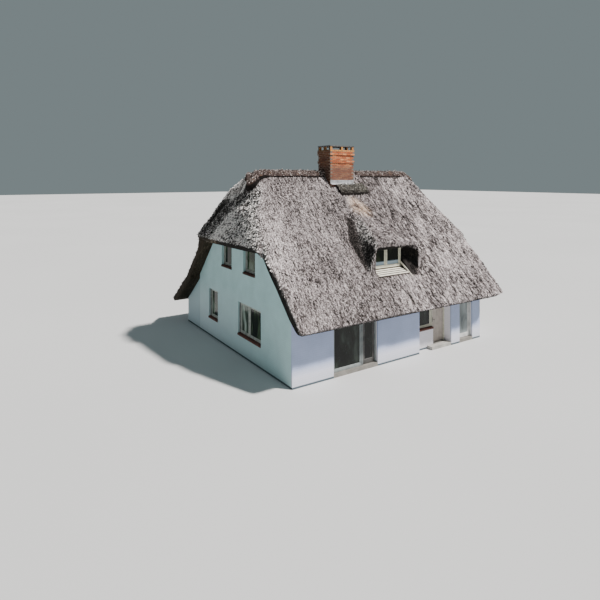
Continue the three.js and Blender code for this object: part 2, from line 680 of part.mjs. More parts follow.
function frontWallHead() {
  const inside = WALL + SEAT;
  const back = WALL + RECESS.deep;
  const far = LENGTH - inside;
  const long = frontWall([[inside, 0], [far, 0], [far, WALL], [inside, WALL]], HEAD, FAR);
  const x0 = RECESS.left - WALL;
  const x1 = RECESS.right + WALL;
  const over = frontWall([[x0, 1], [x1, 1], [x1, back], [x0, back]], HEAD, UPPER_FLOOR.bottom - SEAT);
  return long.add(over);
}

function recessWall() {
  const { left, split, deep, sill } = RECESS;
  return box(left + SEAT, split - SEAT, deep, deep + WALL, 0, sill);
}

function backWall() {
  const inside = WALL + SEAT;
  return box(inside, LENGTH - inside, DEPTH - WALL, DEPTH, 0, RIDGE.top).intersect(underRoof(SEAT));
}

function groundFloor() {
  const inside = WALL + SEAT;
  const plan = [
    [inside, inside], [RECESS.left - WALL - SEAT, inside], [RECESS.left - WALL - SEAT, inside + RECESS.deep],
    [RECESS.right + WALL + SEAT, inside + RECESS.deep], [RECESS.right + WALL + SEAT, inside],
    [LENGTH - inside, inside], [LENGTH - inside, DEPTH - inside], [inside, DEPTH - inside],
  ];
  let solid = prism(plan, Z, 0, FLOOR_TOP);
  for (const { left, right } of [TERRACE, GARDEN]) {
    solid = solid.add(box(left + SEAT, right - SEAT, 0, inside + 1, 0, FLOOR_TOP));
  }
  const { split, right, deep } = RECESS;
  return solid.add(box(split + SEAT, right - SEAT, deep, deep + inside + 1, 0, FLOOR_TOP));
}

function upperFloor() {
  const inside = WALL + SEAT;
  const { bottom, top, back } = UPPER_FLOOR;
  const slab = box(inside, LENGTH - inside, inside, back, bottom, top);
  return slab.intersect(underRoof(SEAT)).subtract(stackHole());
}

// Joinery. Windows and doors are drawn with x along the wall, y into the house and z up from the sill.

function sash(width, height, face, deep, bars) {
  const { fit } = FRAME;
  let solid = box(fit, width - fit, 0, deep, fit, height - fit);
  const edges = [0, ...bars.flatMap((at) => [at - face / 2, at + face / 2]), width];
  for (let i = 0; i < edges.length; i += 2) {
    const x0 = edges[i] + (i === 0 ? face : 0);
    const x1 = edges[i + 1] - (i + 2 === edges.length ? face : 0);
    solid = solid.subtract(box(x0, x1, -1, deep + 1, face, height - face));
  }
  return solid;
}

function pane(x0, x1, deep, z0, z1) {
  return box(x0, x1, (deep - PANE) / 2, (deep + PANE) / 2, z0, z1);
}

function windowUnit({ width, sill, head, bars }) {
  const { face, deep } = FRAME;
  const height = head - sill;
  const glass = pane(face / 2, width - face / 2, deep, face / 2, height - face / 2);
  return sash(width, height, face, deep, bars).add(glass);
}

// One half of each hinge: a knuckle on the hinge axis, and the plate that fixes it to a face
function hingeHalves(axisX, faceY, lift, towards) {
  const { radius, tall, out, plate, thick, sides, heights } = HINGE;
  const parts = heights.map((height) => {
    const z = height + lift;
    const knuckle = new THREE.CylinderGeometry(radius, radius, tall, sides);
    knuckle.rotateX(Math.PI / 2);
    knuckle.translate(axisX, faceY + out, z + tall / 2);
    const far = axisX + towards * plate;
    const strap = box(Math.min(axisX, far), Math.max(axisX, far), faceY - 1, faceY + thick, z, z + tall);
    return toSolid(knuckle).add(strap);
  });
  return parts.reduce((all, part) => all.add(part));
}

const FRAME_HEIGHT = HEAD - FLOOR_TOP - 2 * SEAT;

// Frame round a doorway, open at its foot, with the fixed halves of the hinges on its right side
function doorFrame(width, height) {
  const { face, deep, fit } = FRAME;
  const hole = box(face, width - face, -1, deep + 1, -1, height - face);
  const hinges = hingeHalves(width - face - HINGE.gap, deep, 0, 1);
  return box(fit, width - fit, 0, deep, 0, height - fit).subtract(hole).add(hinges);
}

// Terrace frame: a fixed pane beside the doorway, with a post between them
function terraceFrame() {
  const { face, deep } = FRAME;
  const width = TERRACE.right - TERRACE.left;
  const post = TERRACE_POST.left - TERRACE.left;
  const upright = box(post, post + TERRACE_POST.width, 0, deep, 0, FRAME_HEIGHT - 1);
  let solid = doorFrame(width, FRAME_HEIGHT).add(upright);
  solid = solid.add(box(face / 2, post + 1, 0, deep, 0, face));
  return solid.add(pane(face / 2, post + 1, deep, face / 2, FRAME_HEIGHT - face / 2));
}

// Entrance frame: the recess window on its brick seat beside the entrance doorway
function entranceFrame() {
  const { face, deep, fit } = FRAME;
  const width = RECESS.right - RECESS.left;
  const post = RECESS.split - RECESS.left;
  const seat = RECESS.sill - FLOOR_TOP;
  let solid = box(fit, width - fit, 0, deep, 0, FRAME_HEIGHT - fit);
  solid = solid.subtract(box(post + face, width - face, -1, deep + 1, -1, FRAME_HEIGHT - face));
  solid = solid.subtract(box(-1, post + 1, -1, deep + 1, -1, seat));
  solid = solid.subtract(box(face, post - face / 2, -1, deep + 1, seat + face, FRAME_HEIGHT - face));
  solid = solid.add(pane(face / 2, post, deep, seat + face / 2, FRAME_HEIGHT - face / 2));
  return solid.add(hingeHalves(width - face - HINGE.gap, deep, 0, 1));
}

function handle(at, depth) {
  const { length, bar, out, height, plate } = HANDLE;
  const [wide, tall, thin] = plate;
  const side = wide / 2;
  const low = height - tall / 2;
  const high = height + tall / 2;
  const back = box(at - side, at + side, -thin, 1, low, high);
  const neck = box(at - bar / 2, at + bar / 2, -out, 1, height - bar / 2, height + bar / 2);
  const lever = box(at - bar / 2, at + length, -out - 1, -out + bar, height - bar / 2, height + bar / 2);
  const inner = box(at - side, at + side, depth - 1, depth + thin, low, high);
  return back.add(neck).add(lever).add(inner);
}

// Leaf with its handle at the left and the moving halves of its hinges at the right
function boardedLeaf(width, height) {
  const { thick, stile, clear, undercut } = LEAF;
  const lift = HINGE.tall + 2 * SEAT - undercut;
  const hinges = hingeHalves(width + clear - HINGE.gap, thick, lift, -1);
  return box(0, width, 0, thick, 0, height).add(handle(stile / 2, thick)).add(hinges);
}

function glazedLeaf(width, height) {
  const { thick, stile, rail } = LEAF;
  const hole = box(stile, width - stile, -1, thick + 1, rail, height - stile);
  const glass = pane(stile - 1, width - stile + 1, thick, rail - 1, height - stile + 1);
  return boardedLeaf(width, height).subtract(hole).add(glass);
}

// Assembly

const house = new THREE.Group();
house.name = 'thatched_cottage';
const ORIGIN = [
  (LEFT_HIP.back[0] + RIGHT_HIP.front[0]) / 2,
  (FRONT_EAVE.reach + REAR_EAVE.reach) / 2,
];
house.position.set(-ORIGIN[0], -ORIGIN[1], 0);

function place(name, solid, finish) {
  const material = new THREE.MeshStandardMaterial(FINISHES[finish]);
  const mesh = new THREE.Mesh(toGeometry(solid), material);
  mesh.name = name;
  house.add(mesh);
  return mesh;
}

const reed = (name, solid) => place(name, solid, 'reed');
const render = (name, solid) => place(name, solid, 'render');
const joinery = (name, solid) => place(name, solid, 'paintedWood');

place('ground_floor', groundFloor(), 'concrete');
place('upper_floor', upperFloor(), 'timber');

render('front_wall_left', pier(WALL + SEAT, TERRACE.left));
render('front_wall_middle', returnPier(TERRACE.right, RECESS.left, RECESS.left, -1));
render('front_wall_pier', returnPier(RECESS.right, GARDEN.left, RECESS.right, 1));
render('front_wall_right', pier(GARDEN.right, LENGTH - WALL - SEAT));
render('front_wall_head', frontWallHead());
render('recess_wall', recessWall());
render('left_gable_wall', gableWall(0));
render('right_gable_wall', gableWall(LENGTH));
render('back_wall', backWall());

reed('thatch_front_left', swelled(slope(FRONT_SECTION, PLANS.frontLeft), PLANS.frontLeft, frontTop));
reed('thatch_front_right', swelled(slope(FRONT_SECTION, PLANS.frontRight), PLANS.frontRight, frontTop));
reed('thatch_below_front_dormer', thatchBelowDormer());
reed('front_dormer_hood', frontDormerHood());
reed('thatch_back', swelled(slope(BACK_SECTION, PLANS.back), PLANS.back, backTop).subtract(stackHole()));
reed('thatch_below_rear_dormer', slope(BACK_SECTION, PLANS.belowRearDormer));
reed('thatch_rear_eave', slope(REAR_EAVE_SECTION, PLANS.rearEave));
reed('rear_dormer_hood', rearDormerHood());
reed('thatch_left_hip', thatchHip(LEFT_HIP));
reed('thatch_right_hip', thatchHip(RIGHT_HIP));

const capStop = STACK.left - SEAT;
const capRestart = STACK.right + CAP_RIGHT.gap;
const capLeft = ridgeCap(CAP_LEFT.start, capStop, CAP_LEFT.bulb, CAP_LEFT.start, CAP_LEFT.bulbZ);
const capRight = ridgeCap(capRestart, CAP_RIGHT.end, CAP_RIGHT.bulb, CAP_RIGHT.end, CAP_RIGHT.bulbZ);
place('ridge_cap_left', capLeft, 'ridgeReed');
place('ridge_cap_right', capRight, 'ridgeReed');

place('chimney_stack', chimneyStack(), 'brick');
place('chimney_cover_slab', chimneyCover(), 'slab');
place('chimney_flashing', chimneyFlashing(), 'lead');
place('chimney_saddle', chimneySaddle(), 'mossyReed');

joinery('front_dormer_apron', dormerApron());
const dormerWindow = {
  width: DORMER.windowRight - DORMER.windowLeft, sill: DORMER.sill, head: DORMER.head,
  bars: [(DORMER.windowRight - DORMER.windowLeft) / 2],
};
joinery('front_dormer_window', windowUnit(dormerWindow))
  .position.set(DORMER.windowLeft, DORMER.windowY + SEAT, DORMER.sill);
const rearWindow = {
  width: REAR_DORMER.windowRight - REAR_DORMER.windowLeft, sill: REAR_DORMER.sill, head: REAR_DORMER.head,
  bars: [(REAR_DORMER.windowRight - REAR_DORMER.windowLeft) / 2],
};
const rearDormerWindow = joinery('rear_dormer_window', windowUnit(rearWindow));
rearDormerWindow.rotation.z = Math.PI;
rearDormerWindow.position.set(REAR_DORMER.windowRight, REAR_DORMER.windowY, REAR_DORMER.sill);

const gableNames = ['large_window', 'narrow_window', 'upper_window_front', 'upper_window_rear'];
GABLE_WINDOWS.forEach((spec, i) => {
  const left = joinery(`left_gable_${gableNames[i]}`, windowUnit(spec));
  left.rotation.z = -Math.PI / 2;
  left.position.set(FRAME.setback, spec.from + spec.width, spec.sill);
  const right = joinery(`right_gable_${gableNames[i]}`, windowUnit(spec));
  right.rotation.z = Math.PI / 2;
  right.position.set(LENGTH - FRAME.setback, spec.from, spec.sill);
});

const sillZ = FLOOR_TOP + SEAT;
joinery('terrace_frame', terraceFrame()).position.set(TERRACE.left, FRAME.setback, sillZ);
joinery('garden_door_frame', doorFrame(GARDEN.right - GARDEN.left, FRAME_HEIGHT))
  .position.set(GARDEN.left, FRAME.setback, sillZ);
joinery('entrance_frame', entranceFrame()).position.set(RECESS.left, RECESS.deep + FRAME.setback, sillZ);

const { clear, undercut, thick } = LEAF;
const leafHeight = HEAD - FLOOR_TOP - FRAME.face - undercut - clear;
const leafZ = FLOOR_TOP + undercut;
const leafY = FRAME.setback + FRAME.deep - thick;
const terraceDoorX = TERRACE_POST.left + TERRACE_POST.width + clear;
const terraceDoorWidth = TERRACE.right - FRAME.face - clear - terraceDoorX;
joinery('terrace_door', glazedLeaf(terraceDoorWidth, leafHeight))
  .position.set(terraceDoorX, leafY, leafZ);
const gardenDoorX = GARDEN.left + FRAME.face + clear;
joinery('garden_door', glazedLeaf(GARDEN.right - FRAME.face - clear - gardenDoorX, leafHeight))
  .position.set(gardenDoorX, leafY, leafZ);
const entranceDoorX = RECESS.split + FRAME.face + clear;
const entranceDoorWidth = RECESS.right - FRAME.face - clear - entranceDoorX;
place('entrance_door', boardedLeaf(entranceDoorWidth, leafHeight), 'doorWood')
  .position.set(entranceDoorX, RECESS.deep + leafY, leafZ);

place('entrance_step', box(0, STEP.width, 0, STEP.deep, 0, STEP.high), 'concrete')
  .position.set(RECESS.right - STEP.width - SEAT, RECESS.deep - STEP.deep, 0);

export default house;
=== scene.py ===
# %% [markdown]
# # Dressing a thatched cottage
# The construction of the cottage is already settled: walls, floors, reed roof, chimney and joinery stand as
# plain solids at their real size. This lesson loads them as a fixed frame and gives every surface the form
# and finish that the eye expects: combed reed, a heather ridge, laid brick, painted masonry, glazed casements
# and boarded doors. All lengths are metres. x runs along the ridge, y from the front to the back, z up.

# %% Load the frame
import math

import bmesh
import bpy
import numpy as np
from mathutils import Matrix, Vector


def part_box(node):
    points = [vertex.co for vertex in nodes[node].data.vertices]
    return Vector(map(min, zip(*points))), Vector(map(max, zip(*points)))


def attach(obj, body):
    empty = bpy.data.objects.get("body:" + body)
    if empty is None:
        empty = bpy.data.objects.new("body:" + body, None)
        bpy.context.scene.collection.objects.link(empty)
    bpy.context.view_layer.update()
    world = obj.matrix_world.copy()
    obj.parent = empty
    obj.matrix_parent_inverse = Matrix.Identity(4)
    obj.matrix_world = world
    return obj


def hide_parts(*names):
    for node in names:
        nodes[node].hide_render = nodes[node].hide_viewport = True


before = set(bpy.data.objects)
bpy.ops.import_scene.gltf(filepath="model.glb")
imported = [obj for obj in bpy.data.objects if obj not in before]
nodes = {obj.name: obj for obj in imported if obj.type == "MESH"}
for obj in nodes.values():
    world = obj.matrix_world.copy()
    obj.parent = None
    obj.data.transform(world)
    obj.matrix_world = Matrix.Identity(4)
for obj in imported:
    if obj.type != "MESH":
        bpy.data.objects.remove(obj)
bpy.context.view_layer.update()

# %% [markdown]
# ## The camera
# The photograph was taken with a level camera that looked along the house from above its front left corner,
# and its frame was cut so that the horizon lies high. A level camera with a vertical shift gives the same
# upright walls. Heading, height and focal length come from the perspective of the eaves, the gable and the
# ridge.

# %% Place the camera
PHOTO_SIDE = 600
FOCAL_PIXELS = 489.35
HORIZON_ROW = 178.75
EYE = (-15.231, -20.431, 7.8)
HEADING_FROM_X = 56.473

camera = bpy.data.objects.new("camera", bpy.data.cameras.new("camera"))
bpy.context.scene.collection.objects.link(camera)
bpy.context.scene.camera = camera
camera.data.sensor_width = 36.0
camera.data.lens = FOCAL_PIXELS / PHOTO_SIDE * camera.data.sensor_width
camera.data.shift_y = (HORIZON_ROW - PHOTO_SIDE / 2) / PHOTO_SIDE
camera.data.clip_end = 400.0
camera.location = EYE
camera.rotation_euler = (math.pi / 2, 0, math.radians(HEADING_FROM_X - 90))
print("camera: lens", round(camera.data.lens, 2), "mm, shift", round(camera.data.shift_y, 3))

# %% [markdown]
# ## Helpers
# Shader trees and geometry trees are built from nodes in the same way, so one function serves both: it adds a
# node, sets its options, and fills each input with a value or with the output that feeds it. Colours are
# written as the sRGB hex values that a paint chart gives, and one function turns them into linear light.
# Every finish here is a Principled shader with a colour and a bump, and every piece ends as a plain mesh that
# rides on a body of the frame.

# %% Node, colour and material helpers
def linear(code, alpha=1.0):
    """Linear colour of an sRGB hex value."""
    parts = [int(code[i:i + 2], 16) / 255 for i in (1, 3, 5)]
    return (*[p / 12.92 if p <= 0.04045 else ((p + 0.055) / 1.055) ** 2.4 for p in parts], alpha)


def add(tree, kind, inputs=None, stops=None, **settings):
    """One node with its settings. An input is a plain value, or the output socket that feeds it."""
    made = tree.nodes.new(kind)
    for name, value in settings.items():
        setattr(made, name, value)
    for key, value in (inputs or {}).items():
        if isinstance(value, bpy.types.NodeSocket):
            tree.links.new(value, made.inputs[key])
        else:
            made.inputs[key].default_value = value
    for i, (at, code) in enumerate(stops or []):
        element = made.color_ramp.elements[i] if i < 2 else made.color_ramp.elements.new(at)
        element.position = at
        element.color = linear(code)
    return made


def start_material(name, **shader_inputs):
    """A material with a Principled shader. Returns it with its tree, shader and object coordinates."""
    material = bpy.data.materials.new(name)
    material.use_nodes = True
    tree = material.node_tree
    tree.nodes.clear()
    shader = add(tree, "ShaderNodeBsdfPrincipled", shader_inputs)
    add(tree, "ShaderNodeOutputMaterial", {"Surface": shader.outputs[0]})
    place = add(tree, "ShaderNodeTexCoord").outputs["Object"]
    return material, tree, shader, place


def finish_surface(tree, shader, colour, height, depth, strength):
    """Feeds a shader its colour and a relief that is depth metres high."""
    bump = add(tree, "ShaderNodeBump", {"Height": height, "Distance": depth, "Strength": strength})
    tree.links.new(colour, shader.inputs["Base Color"])
    tree.links.new(bump.outputs[0], shader.inputs["Normal"])


def as_mesh(form, name):
    """The plain mesh of a bmesh, which is freed."""
    mesh = bpy.data.meshes.new(name)
    form.to_mesh(mesh)
    form.free()
    return mesh


def link(name, mesh):
    """A new object that shows a mesh."""
    made = bpy.data.objects.new(name, mesh)
    bpy.context.scene.collection.objects.link(made)
    return made


def dressed(name, mesh, material, body, stands_for=()):
    """A finished piece. It rides on a body, and may stand for solids of the frame."""
    mesh.materials.clear()
    mesh.materials.append(material)
    piece = link(name, mesh)
    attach(piece, body)
    if stands_for:
        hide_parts(*stands_for)
    mesh.calc_loop_triangles()
    print(f"{name}: {len(mesh.loop_triangles)} triangles")
    return piece


def discard(holder):
    """Removes an object together with its own mesh."""
    own = holder.data
    bpy.data.objects.remove(holder)
    bpy.data.meshes.remove(own)


def applied(holder):
    """The result of an object's modifiers as a plain mesh. The object and its own mesh are removed."""
    bpy.context.view_layer.update()
    graph = bpy.context.evaluated_depsgraph_get()
    mesh = bpy.data.meshes.new_from_object(holder.evaluated_get(graph))
    discard(holder)
    return mesh


# %% [markdown]
# ## Reed
# Water reed is laid in a coat about 0.3 m thick and dressed from below with a grooved board, so what shows is
# not the length of the stems but their cut ends, thousands of small clumps that point down the slope. After
# twenty years of rain the clumps are grey with a warm cast: the tips bleach, and the gaps between them are
# dark, partly their own colour and partly painted shade. On the shaded half-hips algae turns the same reed
# darker and cooler. Under the eaves and on steep cuts it is painted dark brown, partly its own brown and
# partly painted shade, and the low rear verge is mossy. One level from dark to pale is mixed from noises of
# four sizes, and each kind of reed reads its own colours from it. Painted shade and darker tones give a lower
# level with less contrast, and painted light and paler tones a higher one with more.

# %% Weathered water reed
REED_COLOURS = {
    "grey": [(0.0, "#262221"), (0.24, "#605957"), (0.42, "#9b9293"), (0.64, "#cdc4c4"), (0.95, "#f8f0f0")],
    "algae": [(0.0, "#121110"), (0.28, "#353332"), (0.48, "#85817f"), (0.66, "#cfcbc9"), (0.90, "#fbf7f5")],
    "straw": [(0.0, "#80685a"), (0.35, "#dcc2ae"), (0.8, "#fff4e9")],
    # The brown ramp runs to nearly black: the reed's own brown under the eaves, darkened by painted shade.
    "brown": [(0.0, "#080807"), (0.5, "#181512"), (1.0, "#3b3731")],
    "mossy": [(0.0, "#1c1812"), (0.45, "#3f372b"), (0.62, "#5b5144"), (0.9, "#8d8071")],
}
# Waves per metre: stems 13 mm wide, clumps 53 mm, combed streaks 0.11 m and weathered patches 1.7 m
STEMS, CLUMPS, STREAKS, PATCHES = 75.0, 19.0, 9.0, 0.6
COMB_STRETCH = 0.16


def weathered_reed():
    """Matte cut stems, pale at the tips and dark between the clumps, after the values stored on the coat,
    painted shade and painted light among them.
    """
    material, tree, shader, place = start_material("weathered_water_reed", Roughness=0.92)
    shader.inputs["Specular IOR Level"].default_value = 0.25
    tone, side, shade, fresh, damp = [
        add(tree, "ShaderNodeAttribute", attribute_name=asked).outputs["Fac"]
        for asked in ("tone", "side", "shade", "fresh", "damp")]
    x, y, z = add(tree, "ShaderNodeSeparateXYZ", {"Vector": place}).outputs
    along_front = add(tree, "ShaderNodeMapping", {
        "Vector": place, "Scale": (1.0, COMB_STRETCH, COMB_STRETCH)}).outputs[0]
    along_side = add(tree, "ShaderNodeMapping", {
        "Vector": place, "Scale": (COMB_STRETCH, 1.0, COMB_STRETCH)}).outputs[0]
    combed = add(tree, "ShaderNodeMix", {0: side, 4: along_front, 5: along_side},
                 data_type="VECTOR").outputs[1]
    combing = add(tree, "ShaderNodeMapRange", {0: x, 1: -3.0, 2: 1.0, 3: 0.42, 4: 1.35}).outputs[0]
    noises = [add(tree, "ShaderNodeTexNoise", {
        "Vector": where, "Scale": scale, "Detail": detail, "Roughness": rough}).outputs["Fac"]
        for where, scale, detail, rough in ((combed, STEMS, 2.0, 0.6), (combed, CLUMPS, 2.0, 0.6),
                                            (combed, STREAKS, 3.0, 0.7), (place, PATCHES, 3.0, 0.6))]
    stems, clumps, streaks = noises[:3]
    level = add(tree, "ShaderNodeMath", {0: tone, 1: 0.95, 2: -0.475}, operation="MULTIPLY_ADD").outputs[0]
    for noise, weight in zip(noises, (1.0, 1.7, 2.0, 0.8)):
        centred = add(tree, "ShaderNodeMath", {0: noise, 1: 0.5}, operation="SUBTRACT").outputs[0]
        if noise == streaks:
            centred = add(tree, "ShaderNodeMath", {0: centred, 1: combing}, operation="MULTIPLY").outputs[0]
        level = add(tree, "ShaderNodeMath", {0: centred, 1: weight, 2: level},
                    operation="MULTIPLY_ADD").outputs[0]
    # Painted shade and darker tones lower the level and its contrast; painted light and paler tones raise
    # both.
    contrast = add(tree, "ShaderNodeMapRange", {0: damp, 1: -0.8, 3: 1.35, 4: 0.45}).outputs[0]
    level = add(tree, "ShaderNodeMath", {0: level, 1: contrast}, operation="MULTIPLY").outputs[0]
    level = add(tree, "ShaderNodeMath", {0: damp, 1: -0.32, 2: level}, operation="MULTIPLY_ADD").outputs[0]
    level = add(tree, "ShaderNodeMapRange", {0: level, 1: -0.62, 2: 0.62}).outputs[0]
    grey, algae, straw, brown, mossy = [
        add(tree, "ShaderNodeValToRGB", {"Fac": level}, stops=stops).outputs[0]
        for stops in REED_COLOURS.values()]
    low = add(tree, "ShaderNodeMapRange", {0: z, 1: 5.2, 2: 4.8}).outputs[0]
    low_rear = add(tree, "ShaderNodeMapRange", {0: y, 1: 0.0, 2: 0.5, 4: low}).outputs[0]
    flecks = add(tree, "ShaderNodeMapRange", {0: clumps, 1: 0.38, 2: 0.52, 3: 0.25, 4: 1.0}).outputs[0]
    renewed = add(tree, "ShaderNodeMath", {0: fresh, 1: flecks}, operation="MULTIPLY").outputs[0]
    # The shade value turns the reed dark brown, mossy at the low rear: its own colour under the eaves, and
    # painted shade on undersides and steep cuts.
    under = add(tree, "ShaderNodeMix", {0: low_rear, 6: brown, 7: mossy}, data_type="RGBA").outputs[2]
    colour = grey
    for share, other in ((side, algae), (renewed, straw), (shade, under)):
        colour = add(tree, "ShaderNodeMix", {0: share, 6: colour, 7: other}, data_type="RGBA").outputs[2]
    relief = add(tree, "ShaderNodeMath", {0: clumps, 1: 2.0, 2: stems}, operation="MULTIPLY_ADD").outputs[0]
    finish_surface(tree, shader, colour, relief, 0.012, 0.7)
    return material


REED = weathered_reed()
print("material:", REED.name)

# %% [markdown]
# ### One coat of reed
# The frame cuts the coat into ten solids, but a thatcher leaves no joint: the reed runs on over the dormers
# and round the half-hips. A voxel remesh of all ten together closes the joints and gives even quads to work
# on, a few smoothing steps round the arrises as dressed reed is rounded, and the hidden under side is thinned
# out again.

# %% Remesh the roof as one coat
VOXEL = 0.06
ROUNDING_STEPS = 3
UNDERSIDE_TILT = -0.25
UNDERSIDE_SHARE = 0.40
COAT_NODES = sorted(n for n in nodes if n.startswith("thatch_")) + ["front_dormer_hood", "rear_dormer_hood"]


def joined_copy(name, members):
    """One object that holds welded copies of some solids of the frame."""
    form = bmesh.new()
    for member in members:
        form.from_mesh(nodes[member].data)
    bmesh.ops.remove_doubles(form, verts=form.verts, dist=1e-5)
    return link(name, as_mesh(form, name))


def vertex_values(mesh):
    """Places and normals of a mesh's vertices as arrays."""
    count = len(mesh.vertices)
    places = np.empty(count * 3, np.float32)
    normals = np.empty(count * 3, np.float32)
    mesh.vertices.foreach_get("co", places)
    mesh.vertex_normals.foreach_get("vector", normals)
    return places.reshape(-1, 3), normals.reshape(-1, 3)


def remeshed(name, members, voxel, steps):
    """Even quads over the union of some solids, with rounded arrises."""
    holder = joined_copy(name, members)
    remesh = holder.modifiers.new("even_quads", "REMESH")
    remesh.mode = "VOXEL"
    remesh.voxel_size = voxel
    smooth = holder.modifiers.new("rounding", "SMOOTH")
    smooth.iterations = steps
    return applied(holder)


def thinned_underside(mesh, share):
    """Fewer faces on the side that looks down, where the coat lies on its rafters."""
    places, normals = vertex_values(mesh)
    holder = link("underside", mesh)
    group = holder.vertex_groups.new(name="underside")
    group.add(np.nonzero(normals[:, 2] < UNDERSIDE_TILT)[0].tolist(), 1.0, "REPLACE")
    thin = holder.modifiers.new("thinner", "DECIMATE")
    thin.ratio = share
    thin.vertex_group = group.name
    return applied(holder)


coat = remeshed("reed_coat", COAT_NODES, VOXEL, ROUNDING_STEPS)
print("coat:", len(coat.polygons), "quads")

# %% [markdown]
# ### Soft arrises and swells
# Reed can't be bent sharply, so the facets of the frame's half-hips and dormers become one curve. The grid of
# the coat is eased step by step towards its own mean, but not near a cut edge, which stays crisp, and not
# under the ridge. Then it gets what only this roof has. The reed stands out over the rear corner of the left
# half-hip. The front arris of the left half-hip is eased further, and that of the right one is pushed out.
# The lower lip of the front verges hangs over the gable walls, and the end of the ridge sinks over the left
# half-hip. Last, a newer layer 5 cm thick runs from the ridge over the front dormer.

# %% Ease and swell the coat
RIDGE_Y = -0.815
EASING_STEPS = 36
CUT_TILT = 0.12
CUT_RINGS = 5
RIDGE_STRIP = (0.30, 0.75)
HIP_ENDS = (4.7, 5.2)
DORMER_ZONE = {"left": (-0.85, -0.45), "right": (2.0, 2.5), "behind": (-2.6, -2.0), "kept": 0.8}
CORNER_SWELL = {"at": (-6.10, 2.25, 5.05), "reach": 1.35, "push": (-0.10, 0.24, 0.06)}
LEFT_ARRIS = {"top": (-4.90, -0.82, 8.10), "foot": (-6.15, -3.57, 5.08), "reach": 1.3, "steps": 70}
RIGHT_ARRIS = {
    "top": (4.90, -0.82, 8.10), "foot": (6.15, -3.57, 5.08), "reach": 0.85, "push": (0.12, -0.09, 0.13)}
FRONT_SLOPE = {"y": -6.015, "z": 2.2, "rise": 6 / 5.5}
VERGE_LIP = {
    "below": (0.02, 0.13), "wall": (5.50, 5.56), "out": 5.90, "foot": (-5.98, -5.75), "head": (-3.35, -3.10),
    "drop": 0.17}
SINKING = {"from": -4.45, "to": -5.25, "drop": 0.44, "near": 0.30, "far": 1.20, "low": 6.2, "high": 7.3}
REAR_ROOF = {"behind": (0.05, 0.25), "across": (-5.20, -4.90)}
LAYER = {"left": (-0.73, -0.67), "right": (1.30, 1.36), "foot": (-3.25, -2.75), "tilt": 0.3, "thick": 0.05}


def eased(low, high, value):
    """0 below low, 1 above high, and a smooth turn between them."""
    t = np.clip((value - low) / (high - low), 0, 1)
    return t * t * (3 - 2 * t)


def between(rise, fall, value):
    """1 between two soft edges, each given as the span of values that it takes up."""
    return eased(*rise, value) * (1 - eased(*fall, value))


def edge_ends(mesh):
    """The two vertices of each edge."""
    ends = np.empty(len(mesh.edges) * 2, np.int32)
    mesh.edges.foreach_get("vertices", ends)
    return ends.reshape(-1, 2)


def neighbour_mean(values, ends, count):
    """The mean of a value over the neighbours of each vertex."""
    total = np.bincount(ends[:, 0], values[ends[:, 1]], len(values))
    total += np.bincount(ends[:, 1], values[ends[:, 0]], len(values))
    return total / np.maximum(count, 1)


def relax(places, share, steps, ends, count):
    """Moves each point by its own share towards the mean of its neighbours, step by step."""
    for step in range(steps):
        for axis in range(3):
            mean = neighbour_mean(places[:, axis], ends, count)
            places[:, axis] += share * (mean - places[:, axis])


def near_a_cut(normals, ends, count):
    """1 within a few rings of a face that looks sideways or down, and a soft fall to 0 past them."""
    near = (normals[:, 2] < CUT_TILT).astype(float)
    for ring in range(CUT_RINGS):
        spread = near.copy()
        np.maximum.at(spread, ends[:, 0], near[ends[:, 1]])
        np.maximum.at(spread, ends[:, 1], near[ends[:, 0]])
        near = spread
    for ring in range(CUT_RINGS):
        near = neighbour_mean(near, ends, count)
    return near


def near_arris(places, arris):
    """1 on a straight arris, falling to 0 at its reach and below 0 past it."""
    top, foot = np.array(arris["top"]), np.array(arris["foot"])
    run = foot - top
    share = np.clip((places - top) @ run / (run @ run), 0, 1)
    return 1 - np.linalg.norm(places - top - share[:, None] * run, axis=1) / arris["reach"]


def sink_ridge_end(places):
    """Lowers what lies on the left end of the ridge, more towards its tip, but not the rear dormer's roof."""
    depth = SINKING["drop"] * (1 - eased(SINKING["to"], SINKING["from"], places[:, 0]))
    behind = places[:, 1] - RIDGE_Y
    depth *= 1 - eased(SINKING["near"], SINKING["far"], np.abs(behind))
    depth *= 1 - eased(*REAR_ROOF["behind"], behind) * eased(*REAR_ROOF["across"], places[:, 0])
    places[:, 2] -= depth * eased(SINKING["low"], SINKING["high"], places[:, 2])


def drop_verge(places):
    """Lets the lower arris of the front verges down, where the reed hangs over the gable wall."""
    across, y = np.abs(places[:, 0]), places[:, 1]
    slope_z = FRONT_SLOPE["z"] + FRONT_SLOPE["rise"] * (y - FRONT_SLOPE["y"])
    lip = eased(*VERGE_LIP["below"], slope_z - places[:, 2]) * (across < VERGE_LIP["out"])
    lip *= eased(*VERGE_LIP["wall"], across) * between(VERGE_LIP["foot"], VERGE_LIP["head"], y)
    places[:, 2] -= VERGE_LIP["drop"] * lip


